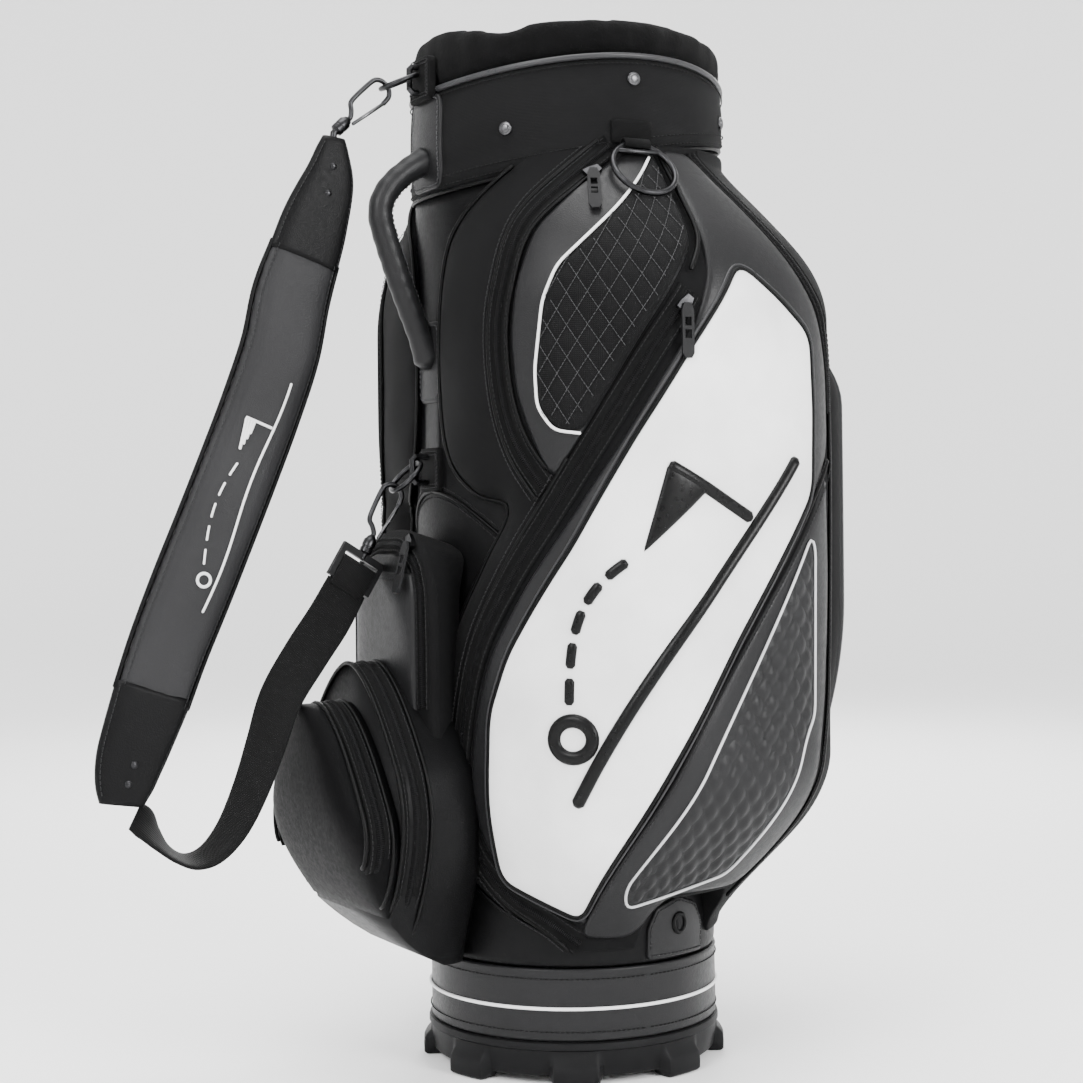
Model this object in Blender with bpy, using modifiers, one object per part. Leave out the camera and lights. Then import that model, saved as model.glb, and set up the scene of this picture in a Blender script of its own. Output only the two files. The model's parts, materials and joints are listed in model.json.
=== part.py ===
"""Golf staff bag: a cart bag with moulded base, divided top, zipped pockets, carry handle and shoulder strap.

Metres, +Z up. The origin is on the floor at the axis of the bag's tube. The front, with the ball pocket,
the carry handle and the strap, faces -Y, and the two big side pocket systems face +X and -X.
Places on the round body are given as (angle, height), the angle in degrees from +X towards +Y.
"""

import math

import bmesh
import bpy
from mathutils import Matrix, Vector
from mathutils.geometry import delaunay_2d_cdt

NAME = "golf_staff_bag"
GAP = 0.0003  # clearance between pieces that touch
SEAM_GAP = 0.0010  # clearance between sewn soft pieces
BACKING_GAP = 0.0017  # clearance of a pocket's curved back over the cover's facets

# Tube and base
TUBE_INNER = 0.1145
TUBE_OUTER = 0.1165
TUBE_BOTTOM = 0.0125
TUBE_TOP = 0.842
COVER_INNER = 0.1185
CORE_LOW = 0.126  # outer radius of the padded cover near the base
CORE_HIGH = 0.135
BASE_RADIUS = 0.1285
BASE_TOP = 0.036
FOOT_COUNT = 8
BAND_TOP = 0.097
PIPING = 0.0016

# Cuff
CUFF_RADIUS = 0.1375
SEAM_HEIGHT = 0.777  # lower edge of the cuff on the axis
SEAM_SLOPE = 0.19
COLLAR_TOP = 0.880
RING_STEPS = 40

# Outer surface of the side pockets: half-sizes of its widest section
FRONT, SIDE, BACK = 0.150, 0.215, 0.200
REAR_SIDE, REAR_BACK = 0.118, 0.248

# Strap, in the plane x = 0, as (y, z)
STRAP_AXIS = -0.1545  # y of the vertical line on which both anchor bars stand
UPPER_ANCHOR = 0.850
LOWER_ANCHOR = 0.515
WIRE = 0.0022

SCENE_PARTS = None
CUTTERS = None


# ---------------------------------------------------------------- basics


def clear_scene():
    for obj in list(bpy.data.objects):
        bpy.data.objects.remove(obj, do_unlink=True)


def collection(name):
    made = bpy.data.collections.new(name)
    bpy.context.scene.collection.children.link(made)
    return made


def material(name, colour, roughness, metallic=0.0):
    made = bpy.data.materials.new(name)
    made.use_nodes = True
    shader = made.node_tree.nodes["Principled BSDF"]
    shader.inputs["Base Color"].default_value = (*colour, 1.0)
    shader.inputs["Roughness"].default_value = roughness
    shader.inputs["Metallic"].default_value = metallic
    made.diffuse_color = (*colour, 1.0)
    return made


FABRIC = ((0.012, 0.012, 0.013), 0.75, 0.0)
LEATHER = ((0.030, 0.030, 0.032), 0.45, 0.0)
WHITE = ((0.75, 0.75, 0.74), 0.45, 0.0)
PLASTIC = ((0.018, 0.018, 0.020), 0.50, 0.0)
METAL = ((0.060, 0.060, 0.065), 0.35, 1.0)
LINER = ((0.020, 0.020, 0.022), 0.60, 0.0)


def finish(obj, look, flat=False):
    """Names the object's material after it and shades it."""
    colour, roughness, metallic = look
    obj.data.materials.clear()
    obj.data.materials.append(material(obj.name, colour, roughness, metallic))
    if obj.type == "MESH" and not flat:
        obj.data.shade_smooth()
        obj.data.set_sharp_from_angle(angle=math.radians(40))
    return obj


def add_object(name, data, into=None):
    obj = bpy.data.objects.new(name, data)
    (into or SCENE_PARTS).objects.link(obj)
    return obj


def mesh_object(name, mesh_builder, look, into=None):
    """An object from a bmesh, with its faces turned outwards."""
    bmesh.ops.recalc_face_normals(mesh_builder, faces=mesh_builder.faces)
    mesh = bpy.data.meshes.new(name)
    mesh_builder.to_mesh(mesh)
    mesh_builder.free()
    obj = add_object(name, mesh, into)
    return finish(obj, look)


def boolean(obj, operation, other, hide=True):
    modifier = obj.modifiers.new(operation.lower(), "BOOLEAN")
    modifier.operation = operation
    modifier.object = other
    if hide:
        other.hide_render = True
        other.display_type = "WIRE"


def applied(obj):
    """The object with its modifiers applied, as a plain mesh object."""
    graph = bpy.context.evaluated_depsgraph_get()
    graph.update()
    mesh = bpy.data.meshes.new_from_object(obj.evaluated_get(graph))
    name, place, home = obj.name, obj.matrix_world.copy(), obj.users_collection[0]
    bpy.data.objects.remove(obj, do_unlink=True)
    joined = bmesh.new()
    joined.from_mesh(mesh)
    bmesh.ops.remove_doubles(joined, verts=joined.verts, dist=0.00001)
    joined.to_mesh(mesh)
    joined.free()
    made = bpy.data.objects.new(name, mesh)
    home.objects.link(made)
    made.matrix_world = place
    return made


# ---------------------------------------------------------------- shapes


def lathe(name, profile, look, steps=RING_STEPS, into=None):
    """A profile of (radius, height) points, down its outer side, turned about Z."""
    mesh = bpy.data.meshes.new(name)
    points = [(radius, 0, height) for radius, height in profile]
    count = len(points)
    on_axis = profile[0][0] == 0
    edges = [(i, (i + 1) % count) for i in range(count - 1 if on_axis else count)]
    mesh.from_pydata(points, edges, [])
    obj = add_object(name, mesh, into)
    screw = obj.modifiers.new("turn", "SCREW")
    screw.steps = screw.render_steps = steps
    screw.use_merge_vertices = True
    screw.merge_threshold = 0.00005
    screw.use_smooth_shade = False
    return finish(obj, look, flat=True)


def loft(name, sections, look, closed=False, into=None):
    """Skins closed sections that all have the same number of points."""
    built = bmesh.new()
    rows = [[built.verts.new(point) for point in section] for section in sections]
    count = len(rows[0])
    pairs = list(zip(rows, rows[1:] + rows[:1] if closed else rows[1:]))
    for low, high in pairs:
        for i in range(count):
            j = (i + 1) % count
            built.faces.new((low[i], low[j], high[j], high[i]))
    if not closed:
        built.faces.new(rows[0][::-1])
        built.faces.new(rows[-1])
        bmesh.ops.triangulate(built, faces=[f for f in built.faces if len(f.verts) > 4])
    return mesh_object(name, built, look, into)


def swept_ring(name, profile_at, look, steps=RING_STEPS, into=None):
    """A ring about Z whose (radius, height) profile changes with the angle."""
    sections = []
    for step in range(steps):
        angle = 360 * step / steps
        sections.append([polar(radius, angle, height) for radius, height in profile_at(angle)])
    return loft(name, sections, look, closed=True, into=into)


def tube(name, points, radius, look, closed=False, sides=2, into=None):
    """A POLY curve with a round section and filled caps."""
    curve = bpy.data.curves.new(name, "CURVE")
    curve.dimensions = "3D"
    curve.bevel_depth = radius
    curve.bevel_resolution = sides
    curve.use_fill_caps = True
    spline = curve.splines.new("POLY")
    spline.points.add(len(points) - 1)
    for place, point in zip(spline.points, points):
        place.co = (*point, 1.0)
    spline.use_cyclic_u = closed
    return finish(add_object(name, curve, into), look)


def plate(name, outline, thickness, look, into=None):
    """A flat outline of (x, y) points with half its thickness each side of z = 0."""
    curve = bpy.data.curves.new(name, "CURVE")
    curve.dimensions = "2D"
    curve.fill_mode = "BOTH"
    curve.extrude = thickness / 2
    for loop in outline:
        spline = curve.splines.new("POLY")
        spline.points.add(len(loop) - 1)
        for place, (x, y) in zip(spline.points, loop):
            place.co = (x, y, 0.0, 1.0)
        spline.use_cyclic_u = True
    return finish(add_object(name, curve, into), look)


def rectangle(low, high, half):
    return [(low, -half), (high, -half), (high, half), (low, half)]


def block(name, size, centre, look, bevel=0.0, into=None):
    built = bmesh.new()
    bmesh.ops.create_cube(built, size=1.0)
    bmesh.ops.scale(built, vec=size, verts=built.verts)
    bmesh.ops.translate(built, vec=centre, verts=built.verts)
    obj = mesh_object(name, built, look, into)
    if bevel:
        modifier = obj.modifiers.new("round", "BEVEL")
        modifier.width = bevel
        modifier.segments = 2
    return obj


def smooth_path(points, spacing):
    """Catmull-Rom points through the given ones, about a spacing apart."""
    points = [Vector(p) for p in points]
    ends = [2 * points[0] - points[1], *points, 2 * points[-1] - points[-2]]
    path = []
    for a, b, c, d in zip(ends, ends[1:], ends[2:], ends[3:]):
        count = max(1, round((c - b).length / spacing))
        for i in range(count):
            t = i / count
            path.append(
                0.5 * (2 * b + (c - a) * t + (2 * a - 5 * b + 4 * c - d) * t**2
                       + (3 * b - 3 * c + d - a) * t**3)
            )
    return [*path, points[-1]]


# ---------------------------------------------------------------- the bag's surfaces


def ramp(value, low, high):
    return min(1.0, max(0.0, (value - low) / (high - low)))


def swell(value, low, high, power=1.0):
    """A quarter sine from 0 at low to 1 at high."""
    return math.sin(ramp(value, low, high) * math.pi / 2) ** power


def polar(radius, angle, height):
    turn = math.radians(angle)
    return Vector((radius * math.cos(turn), radius * math.sin(turn), height))


def core(height):
    """Radius of the padded tube cover."""
    return CORE_LOW + (CORE_HIGH - CORE_LOW) * ramp(height, 0.10, 0.45)


def super_radius(angle, side, depth, power):
    x = abs(math.cos(math.radians(angle))) / side
    y = abs(math.sin(math.radians(angle))) / depth
    return (x**power + y**power) ** (-1 / power)


def envelope(angle, height):
    """Radius of the outer surface that the side and rear pockets share."""
    full = swell(-height, -0.785, -0.640, 1.25) * swell(height, 0.110, 0.270, 1.5)
    base = core(height)
    front = math.sin(math.radians(angle)) < 0
    depth = FRONT if front else BACK
    power = 2 + 0.1 * full if front else 2 + full
    return super_radius(angle, base + (SIDE - base) * full, base + (depth - base) * full, power)


def rear_surface(angle, height):
    """Radius of the rear pocket, which stands out of the shared surface between its two side seams."""
    base = envelope(angle, height)
    full = swell(-height, -0.648, -0.575) * swell(height, 0.205, 0.400)
    return base + max(0.0, super_radius(angle, REAR_SIDE, REAR_BACK, 5) - base) * full


def cuff_seam(angle):
    """Height of the cuff's lower edge, which lies in a tilted plane."""
    return SEAM_HEIGHT + SEAM_SLOPE * CUFF_RADIUS * math.sin(math.radians(angle))


def cuff_piping_height(angle):
    turn = math.radians(angle)
    return 0.842 + 0.003 * math.sin(turn) + 0.014 * math.cos(turn) ** 2


def collar_height(angle):
    """The collar's top edge: higher at both sides and at the front hand hold."""
    turn = math.radians(angle)
    from_front = abs((angle + 90 + 180) % 360 - 180)
    return COLLAR_TOP + 0.006 * math.cos(turn) ** 2 + 0.008 * math.exp(-((from_front / 24) ** 2))


# ---------------------------------------------------------------- pockets on the round body


ARC = 0.2 * math.pi / 180  # outlines are drawn on a sheet with this many metres a degree


def to_sheet(outline):
    return [Vector((angle * ARC, height)) for angle, height in outline]


def inset(points, distance):
    """Moves the sides of a counterclockwise outline inwards."""
    count = len(points)
    moved = []
    for i in range(count):
        before = (points[i] - points[i - 1]).normalized()
        after = (points[(i + 1) % count] - points[i]).normalized()
        inward = Vector((-before.y - after.y, before.x + after.x))
        cosine = max(0.35, inward.length / 2)
        moved.append(points[i] + inward.normalized() * distance / cosine)
    return moved


def divided(points, spacing):
    result = []
    for a, b in zip(points, points[1:] + points[:1]):
        count = max(1, math.ceil((b - a).length / spacing))
        result += [a.lerp(b, i / count) for i in range(count)]
    return result


def distance_to_line(point, line):
    best = 1.0
    for a, b in zip(line, line[1:]):
        along = (b - a).normalized()
        t = min(max((point - a).dot(along), 0.0), (b - a).length)
        best = min(best, (point - a - along * t).length)
    return best


def is_inside(point, outline):
    inside = False
    for a, b in zip(outline, outline[1:] + outline[:1]):
        if (a.y > point.y) != (b.y > point.y):
            if point.x < a.x + (point.y - a.y) / (b.y - a.y) * (b.x - a.x):
                inside = not inside
    return inside


def slab(name, outline, outer, look, side=1, spacing=0.034, free=(), rise=0.03, least=0.30):
    """A closed soft pocket between the padded cover and an outer surface.

    Along the free edges the pocket starts at a share of its depth and rises to all of it.
    Its border is divided before it is inset, so that neighbours match."""
    border = inset(divided(to_sheet(outline), spacing), SEAM_GAP)
    edge = to_sheet(free)
    low = Vector((min(p.x for p in border), min(p.y for p in border)))
    high = Vector((max(p.x for p in border), max(p.y for p in border)))
    points = list(border)
    rows = round((high.y - low.y) / (spacing * 0.87))
    for row in range(1, rows):
        y = low.y + (high.y - low.y) * row / rows
        x = low.x + spacing * (0.25 + 0.5 * (row % 2))
        while x < high.x:
            spot = Vector((x, y))
            if is_inside(spot, border) and distance_to_line(spot, border + border[:1]) > spacing * 0.45:
                points.append(spot)
            x += spacing
    flat, _, triangles, *_ = delaunay_2d_cdt(points, [], [list(range(len(border)))], 1, 1e-7)
    built = bmesh.new()
    layers = []
    for is_outer in (False, True):
        layer = []
        for spot in flat:
            angle, height = spot.x / ARC, spot.y
            radius = core(height) + BACKING_GAP
            if is_outer:
                share = 1.0
                if edge:
                    share = least + (1 - least) * swell(distance_to_line(spot, edge), 0, rise)
                radius += max(0.003, (outer(angle, height) - radius) * share)
            point = polar(radius, angle, height)
            layer.append(built.verts.new((side * point.x, point.y, point.z)))
        layers.append(layer)
    inner, out = layers
    uses = {}
    for triangle in triangles:
        built.faces.new([out[i] for i in triangle])
        built.faces.new([inner[i] for i in reversed(triangle)])
        for a, b in zip(triangle, triangle[1:] + triangle[:1]):
            uses[(a, b)] = uses.get((a, b), 0) + 1
    for pair in uses:
        if pair[::-1] not in uses:
            low_end, high_end = sorted(pair, key=lambda i: (round(flat[i].y, 4), flat[i].x))
            built.faces.new((out[low_end], out[high_end], inner[high_end]))
            built.faces.new((out[low_end], inner[high_end], inner[low_end]))
    return mesh_object(name, built, look)


# The lines that the side pockets share, from the top of the bag down
DIAGONAL = [(3, 0.672), (-9, 0.606), (-22, 0.534), (-35, 0.484)]  # upper pocket | apparel pocket
APPAREL_FRONT = [(-35, 0.484), (-48, 0.428), (-60, 0.366), (-65.5, 0.310), (-65.5, 0.245)]
APPAREL_TOE = [(-65.5, 0.245), (-63, 0.195), (-53, 0.157), (-40, 0.132), (-30, 0.121)]
LOWER_SEAM = [
    (-30, 0.121), (-25, 0.153), (-14, 0.229), (-1, 0.316), (15, 0.401), (30, 0.476), (57, 0.602),
]
UPPER_FRONT = [
    (-47, 0.752), (-64, 0.722), (-71, 0.690), (-72.5, 0.630), (-71.5, 0.545), (-62, 0.506), (-35, 0.484),
]
QUILT_BOTTOM = [(-27, 0.120), (-8, 0.124), (-1, 0.158), (26, 0.160), (33, 0.126), (57, 0.118)]


def below_cuff(angle):
    return cuff_seam(angle) - 0.004


def apparel_outline():
    top = [(angle, below_cuff(angle)) for angle in (57, 40, 20, 3)]
    return [*top, *DIAGONAL, *APPAREL_FRONT[1:], *APPAREL_TOE[1:], *LOWER_SEAM[1:]]


def upper_outline():
    top = [(angle, below_cuff(angle)) for angle in (3, -15, -32)]
    return [*top, *UPPER_FRONT, *reversed(DIAGONAL[1:-1]), DIAGONAL[0]]


def quilt_outline():
    return [*QUILT_BOTTOM, *reversed(LOWER_SEAM)]


def side_pockets(side, label):
    slab(f"apparel_pocket_{label}", apparel_outline(), envelope, LEATHER, side,
         free=[*APPAREL_FRONT, *APPAREL_TOE[1:]], least=0.45)
    slab(f"upper_pocket_{label}", upper_outline(), envelope, LEATHER, side,
         free=UPPER_FRONT, rise=0.055, least=0.20)
    slab(f"quilt_pocket_{label}", quilt_outline(), envelope, LEATHER, side)


def rear_pocket():
    outline = [(58, 0.122), (122, 0.122), (122, 0.772), (58, 0.772)]
    slab("rear_pocket", outline, rear_surface, LEATHER, spacing=0.024)


def accessory_surface(angle, height):
    return super_radius(angle, 0.100, 0.182, 5) - 0.012 * ramp(height, 0.40, 0.47) ** 2


ACCESSORY_EDGE = [(-114.5, 0.362), (-114, 0.415), (-108, 0.450), (-98, 0.466),
                  (-82, 0.466), (-72, 0.450), (-66, 0.415), (-65.5, 0.362)]


def accessory_pocket():
    slab("accessory_pocket", list(reversed(ACCESSORY_EDGE)), accessory_surface, LEATHER, spacing=0.018,
         free=ACCESSORY_EDGE, rise=0.016, least=0.72)


def tongue(name, outline, radius, look, thickness=0.003, spacing=0.03):
    """A thin sewn patch, its outline given on the sheet and its underside at a radius."""
    surface = radius + thickness
    made = slab(name, outline, lambda angle, height: surface, look, spacing=spacing)
    for vertex in made.data.vertices:
        reach = math.hypot(vertex.co.x, vertex.co.y)
        wanted = surface if reach > radius + thickness / 2 else radius
        vertex.co.x *= wanted / reach
        vertex.co.y *= wanted / reach
    return made


# ---------------------------------------------------------------- ball pocket


BALL_TOP = 0.352
BALL_BACK = 0.2145  # depth of the seam between the two parts of the ball pocket
BALL_DEPTH = 0.262
BALL_HALF = 0.106


def ball_width(height, top):
    """Share of the full width: a pointed arch above, a taper below."""
    arch = ramp(top - height, 0, 0.100) ** 0.667
    return max(0.10, arch) * (0.42 + 0.58 * swell(height, 0.098, 0.235))


def ball_reach(height):
    """Depth of the front face."""
    lower = (1 - ramp(-height, -0.26, -0.095) ** 2) ** 0.7
    return 0.1375 + (BALL_DEPTH - 0.1375) * lower


def ball_section(height):
    """From the cover out to the first zip: a narrow foot, then walls that lean out."""
    width = ball_width(height, BALL_TOP)
    reach = min(BALL_BACK, ball_reach(height) - 0.0015)
    base = core(height) + BACKING_GAP
    foot = 22.5 * min(1.0, width + 0.1)
    back = [polar(base, -90 + foot * share, height) for share in (-1, -0.5, 0, 0.5, 1)]
    root = polar(base + 0.0255 * ramp(reach, 0.14, 0.19) + 0.001, -90 + foot, height)
    near, far = -root.y, max(reach, 0.004 - root.y)
    wide = max(root.x + 0.001, BALL_HALF * width)
    wall = [(0.80, 0.36), (1.0, 0.68), (1.0, 1.0)]
    side = [root]
    for outwards, forwards in wall:
        side.append(Vector((root.x + (wide - root.x) * outwards, -near - (far - near) * forwards, height)))
    mirrored = [Vector((-p.x, p.y, p.z)) for p in reversed(side)]
    return [*back, *side, *mirrored]


def ball_pocket():
    low = [0.099, 0.104, 0.112, 0.122, 0.136, 0.155, 0.180, 0.210]
    heights = [*low, 0.240, 0.262, 0.285, 0.305, 0.322, 0.336, 0.345, 0.351]
    loft("ball_pocket", [ball_section(height) for height in heights], LEATHER)


def ball_front_section(height):
    width = ball_width(height, 0.320)
    reach = ball_reach(height)
    back = BALL_BACK + SEAM_GAP
    depth = max(0.003, reach - back)
    half = 0.104 * width
    plan = [(1.0, 0.0), (0.985, 0.35), (0.93, 0.66), (0.80, 0.88), (0.50, 1.0)]
    side = [Vector((half * x, -back - depth * y, height)) for x, y in plan]
    return [*side, *(Vector((-p.x, p.y, p.z)) for p in reversed(side))]


def ball_pocket_front():
    heights = [0.149, 0.154, 0.164, 0.180, 0.205, 0.232, 0.258, 0.278, 0.294, 0.306, 0.314, 0.319]
    loft("ball_pocket_front", [ball_front_section(height) for height in heights], LEATHER)


# ---------------------------------------------------------------- base and tube


def base_mould():
    """The moulded foot cup, with its lugs and the pad that it rests on in the middle."""
    cup = lathe("base_mould", [
        (0, 0.0120), (0.1178, 0.0120), (0.1178, BASE_TOP - 0.002), (0.1195, BASE_TOP),
        (0.1265, BASE_TOP), (BASE_RADIUS, BASE_TOP - 0.003), (0.1270, 0.016), (0.1235, 0.0075), (0, 0.0075),
    ], PLASTIC)
    cup = applied(cup)
    lugs = [lathe("centre_pad", [(0, 0.0095), (0.034, 0.0095), (0.036, 0.0), (0, 0.0)], PLASTIC, 24, CUTTERS)]
    for step in range(FOOT_COUNT):
        lug = block(f"lug_{step}", (0.0130, 0.034, 0.021), (0.1253, 0, 0.0105), PLASTIC, 0.002, CUTTERS)
        lug.matrix_world = Matrix.Rotation(math.tau * (step + 0.35) / FOOT_COUNT, 4, "Z")
        lugs.append(lug)
    for lug in lugs:
        boolean(cup, "UNION", lug)
    finish(cup, PLASTIC)


def tube_and_cover():
    lathe("body_tube", [
        (TUBE_OUTER, TUBE_TOP), (TUBE_OUTER, TUBE_BOTTOM), (TUBE_INNER, TUBE_BOTTOM), (TUBE_INNER, TUBE_TOP),
    ], LINER)
    lathe("base_plate", [(0, 0.0160), (0.1135, 0.0160), (0.1135, 0.0125), (0, 0.0125)], LINER)
    lathe("base_band", [
        (0.1262, BAND_TOP), (0.1262, BASE_TOP + 0.0005),
        (COVER_INNER, BASE_TOP + 0.0005), (COVER_INNER, BAND_TOP),
    ], LEATHER)
    ring = [polar(0.1262 + GAP + PIPING, 360 * i / RING_STEPS, 0.064) for i in range(RING_STEPS)]
    tube("base_piping", ring, PIPING, WHITE, closed=True, sides=1)

    def cover_profile(angle):
        top = cuff_seam(angle) - SEAM_GAP
        steps = [0.45, 0.28, 0.18]
        outside = [(core(height), height) for height in (top, *steps, BAND_TOP + SEAM_GAP)]
        return [*outside, (COVER_INNER, BAND_TOP + SEAM_GAP), (COVER_INNER, top)]

    swept_ring("body_cover", cover_profile, FABRIC)


def cuff():
    def band_profile(angle):
        low, high = cuff_seam(angle), cuff_piping_height(angle) - 0.0025
        return [(CUFF_RADIUS - 0.002, high), (CUFF_RADIUS, high - 0.003), (CUFF_RADIUS, low + 0.002),
                (CUFF_RADIUS - 0.002, low), (COVER_INNER, low), (COVER_INNER, high)]

    def collar_profile(angle):
        low, high = cuff_piping_height(angle) + 0.0025, collar_height(angle)
        middle = (CUFF_RADIUS + COVER_INNER) / 2
        return [(CUFF_RADIUS - 0.003, low), (CUFF_RADIUS, low + 0.004), (CUFF_RADIUS, high - 0.012),
                (CUFF_RADIUS - 0.004, high - 0.003), (middle, high), (COVER_INNER + 0.003, high - 0.003),
                (COVER_INNER, high - 0.012), (COVER_INNER, low)][::-1]

    swept_ring("cuff_band", band_profile, FABRIC)
    swept_ring("cuff_collar", collar_profile, FABRIC)
    ring = [polar(CUFF_RADIUS + GAP, angle, cuff_piping_height(angle)) for angle in range(0, 360, 9)]
    tube("cuff_piping", ring, 0.0018, FABRIC, closed=True, sides=1)


DIVIDER_Y = (-0.036, 0.036)
DIVIDER_RING = 0.1070  # inner radius of the moulded top ring


def top_divider():
    """A moulded ring with one bar from front to back and two across, which make six wells."""
    ring = applied(lathe("top_divider", [
        (0.1138, 0.850), (0.1138, 0.818), (DIVIDER_RING, 0.818),
        (DIVIDER_RING, 0.848), (0.1085, 0.852), (0.1120, 0.852),
    ], PLASTIC))
    bars = [block("bar_along", (0.010, 0.219, 0.022), (0, 0, 0.834), PLASTIC, 0.003, CUTTERS)]
    for y in DIVIDER_Y:
        reach = math.sqrt(0.110**2 - y**2)
        label = "front" if y < 0 else "rear"
        bars.append(block(f"bar_{label}", (2 * reach, 0.010, 0.022), (0, y, 0.834), PLASTIC, 0.003, CUTTERS))
    for bar in bars:
        boolean(ring, "UNION", bar)
    finish(ring, PLASTIC)


def dividers():
    """Full-length sheets that hang from the two cross bars to the bottom."""
    for name, y in zip(("divider_front", "divider_rear"), DIVIDER_Y):
        reach = math.sqrt((DIVIDER_RING - 0.0008) ** 2 - y**2)
        block(name, (2 * reach, 0.0016, 0.805), (0, y, 0.0165 + 0.805 / 2 + GAP), FABRIC)


# ---------------------------------------------------------------- handle, studs, patches


def handle():
    """A padded tube in the plane x = 0, trimmed to the round patches that it is sewn to."""
    upper = [(-101, 0.7555), (-79, 0.7555), (-79, 0.8340), (-101, 0.8340)]
    lower = [(-97, 0.572), (-83, 0.572), (-83, 0.640), (-97, 0.640)]
    tongue("handle_patch_upper", upper, CUFF_RADIUS + 0.0005, LEATHER)
    tongue("handle_patch_lower", lower, CORE_HIGH + 0.0006, LEATHER)
    route = [
        (-0.132, 0.786), (-0.1556, 0.7712), (-0.1706, 0.7585), (-0.1800, 0.7448), (-0.1826, 0.7302),
        (-0.1775, 0.7103), (-0.165, 0.6754), (-0.148, 0.6337), (-0.1318, 0.5932),
    ]
    route = [(0, y, z) for y, z in route]
    grip = applied(tube("handle_grip", smooth_path(route, 0.018), 0.0105, LEATHER, sides=3))
    cutter = lathe("handle_trim", [
        (0, 0.86), (CUFF_RADIUS + 0.0040, 0.86), (CUFF_RADIUS + 0.0040, 0.70), (CORE_HIGH + 0.0042, 0.70),
        (CORE_HIGH + 0.0042, 0.50), (0, 0.50),
    ], PLASTIC, 96, CUTTERS)
    boolean(grip, "DIFFERENCE", cutter)
    finish(grip, LEATHER)


STUDS = [(-51, 0.795), (-6, 0.836), (46, 0.818)]


def snap_studs():
    """Domed press studs that hold the rain hood."""
    for number, (angle, height) in enumerate(STUDS, 1):
        dome = [(0, 0.0026), (0.0030, 0.0022), (0.0052, 0.0008), (0.0052, 0), (0, 0)]
        stud = lathe(f"snap_stud_{number}", dome, METAL, 16)
        out = Matrix.Rotation(math.radians(angle), 4, "Z") @ Matrix.Rotation(math.pi / 2, 4, "Y")
        stud.matrix_world = Matrix.Translation(polar(CUFF_RADIUS + GAP, angle, height)) @ out


def keyhole_patch():
    """The arched patch over the umbrella tip's hole, low on the right side."""
    arch = [(-1, 0.101), (28, 0.101), (28, 0.126), (24, 0.143), (13.5, 0.152), (3, 0.143), (-1, 0.126)]
    made = tongue("keyhole_patch", arch, 0.1268 + 0.0014, LEATHER, spacing=0.012)
    hole = lathe("keyhole", [(0, 0.02), (0.0062, 0.02), (0.0062, -0.02), (0, -0.02)], PLASTIC, 16, CUTTERS)
    out = Matrix.Rotation(math.radians(13.5), 4, "Z") @ Matrix.Rotation(math.pi / 2, 4, "Y")
    hole.matrix_world = Matrix.Translation(polar(0.130, 13.5, 0.127)) @ out
    boolean(made, "DIFFERENCE", hole)


# ---------------------------------------------------------------- rings, hooks and strap


def ring_tab(name, height, foot_radius):
    """A sewn foot with an upright bar in front of it, which the strap's ring turns on."""
    low, high = height - 0.017, height + 0.017
    foot = tongue(name, [(-96, low), (-84, low), (-84, high), (-96, high)], foot_radius, METAL)
    near = -foot_radius - 0.0015
    bar = [
        (0, near, height + 0.011), (0, STRAP_AXIS + 0.003, height + 0.011), (0, STRAP_AXIS, height + 0.008),
        (0, STRAP_AXIS, height - 0.008), (0, STRAP_AXIS + 0.003, height - 0.011), (0, near, height - 0.011),
    ]
    staple = applied(tube(f"{name}_bar", bar, 0.0028, METAL, into=CUTTERS))
    boolean(foot, "UNION", staple)
    finish(foot, METAL)


def ring_heel(tilt):
    """How far the ring's wire passes behind its bar, along the ring's slope."""
    return 0.0060 / math.cos(math.radians(tilt))


def strap_ring(name, height, tilt):
    """A D ring round its anchor bar. It leans outwards and down by the tilt."""
    out = Vector((0, -math.cos(math.radians(tilt)), -math.sin(math.radians(tilt))))
    centre = Vector((0, STRAP_AXIS, height)) + out * (0.017 - ring_heel(tilt))
    points = []
    for i in range(24):
        turn = math.tau * i / 24
        points.append(centre + Vector((0.015 * math.cos(turn), 0, 0)) + out * (0.017 * math.sin(turn)))
    tube(name, points, WIRE, METAL, closed=True)


def ring_end(height, tilt):
    """Where a hook holds the ring: the middle of its wire, furthest from the bar."""
    reach = 0.034 - ring_heel(tilt)
    turn = math.radians(tilt)
    return Vector((0, STRAP_AXIS - reach * math.cos(turn), height - reach * math.sin(turn)))


UPPER_HOOK_LINE = Vector((0, 0.728, 0.685)).normalized()
LOWER_HOOK_LINE = Vector((0, 0.457, 0.889)).normalized()
UPPER_TILT, LOWER_TILT = 24, 45
HOOK_REACH = 0.047  # from the swivel to the ring's wire


def hook_frame(height, tilt, line):
    """Along, across and the swivel point of a hook that lies in the plane x = 0."""
    across = Vector((0, -line.z, line.y))
    return ring_end(height, tilt) - line * HOOK_REACH, line, across


def snap_hook(name, frame):
    origin, along, across = frame

    def at(s, w):
        return origin + along * s + across * w

    wire = [at(-0.002, 0), at(0.006, 0), at(0.011, 0.004), at(0.015, 0.0088), at(0.024, 0.0100)]
    wire.append(at(0.040, 0.0100))
    for i in range(1, 8):
        turn = math.pi * i / 8
        wire.append(at(0.042 + 0.0097 * math.sin(turn), 0.0100 * math.cos(turn)))
    wire += [at(0.0400, -0.0100), at(0.0382, -0.0100)]
    body = applied(tube(f"hook_{name}", wire, WIRE, METAL))
    barrel = applied(tube(f"barrel_{name}", [at(-0.012, 0), at(0.0034, 0)], 0.0056, METAL, into=CUTTERS))
    boolean(body, "UNION", barrel)
    finish(body, METAL)
    gate = [at(0.0038, -0.0052), at(0.0374, -0.0100)]
    tube(f"hook_gate_{name}", gate, 0.0016, METAL)


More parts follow.
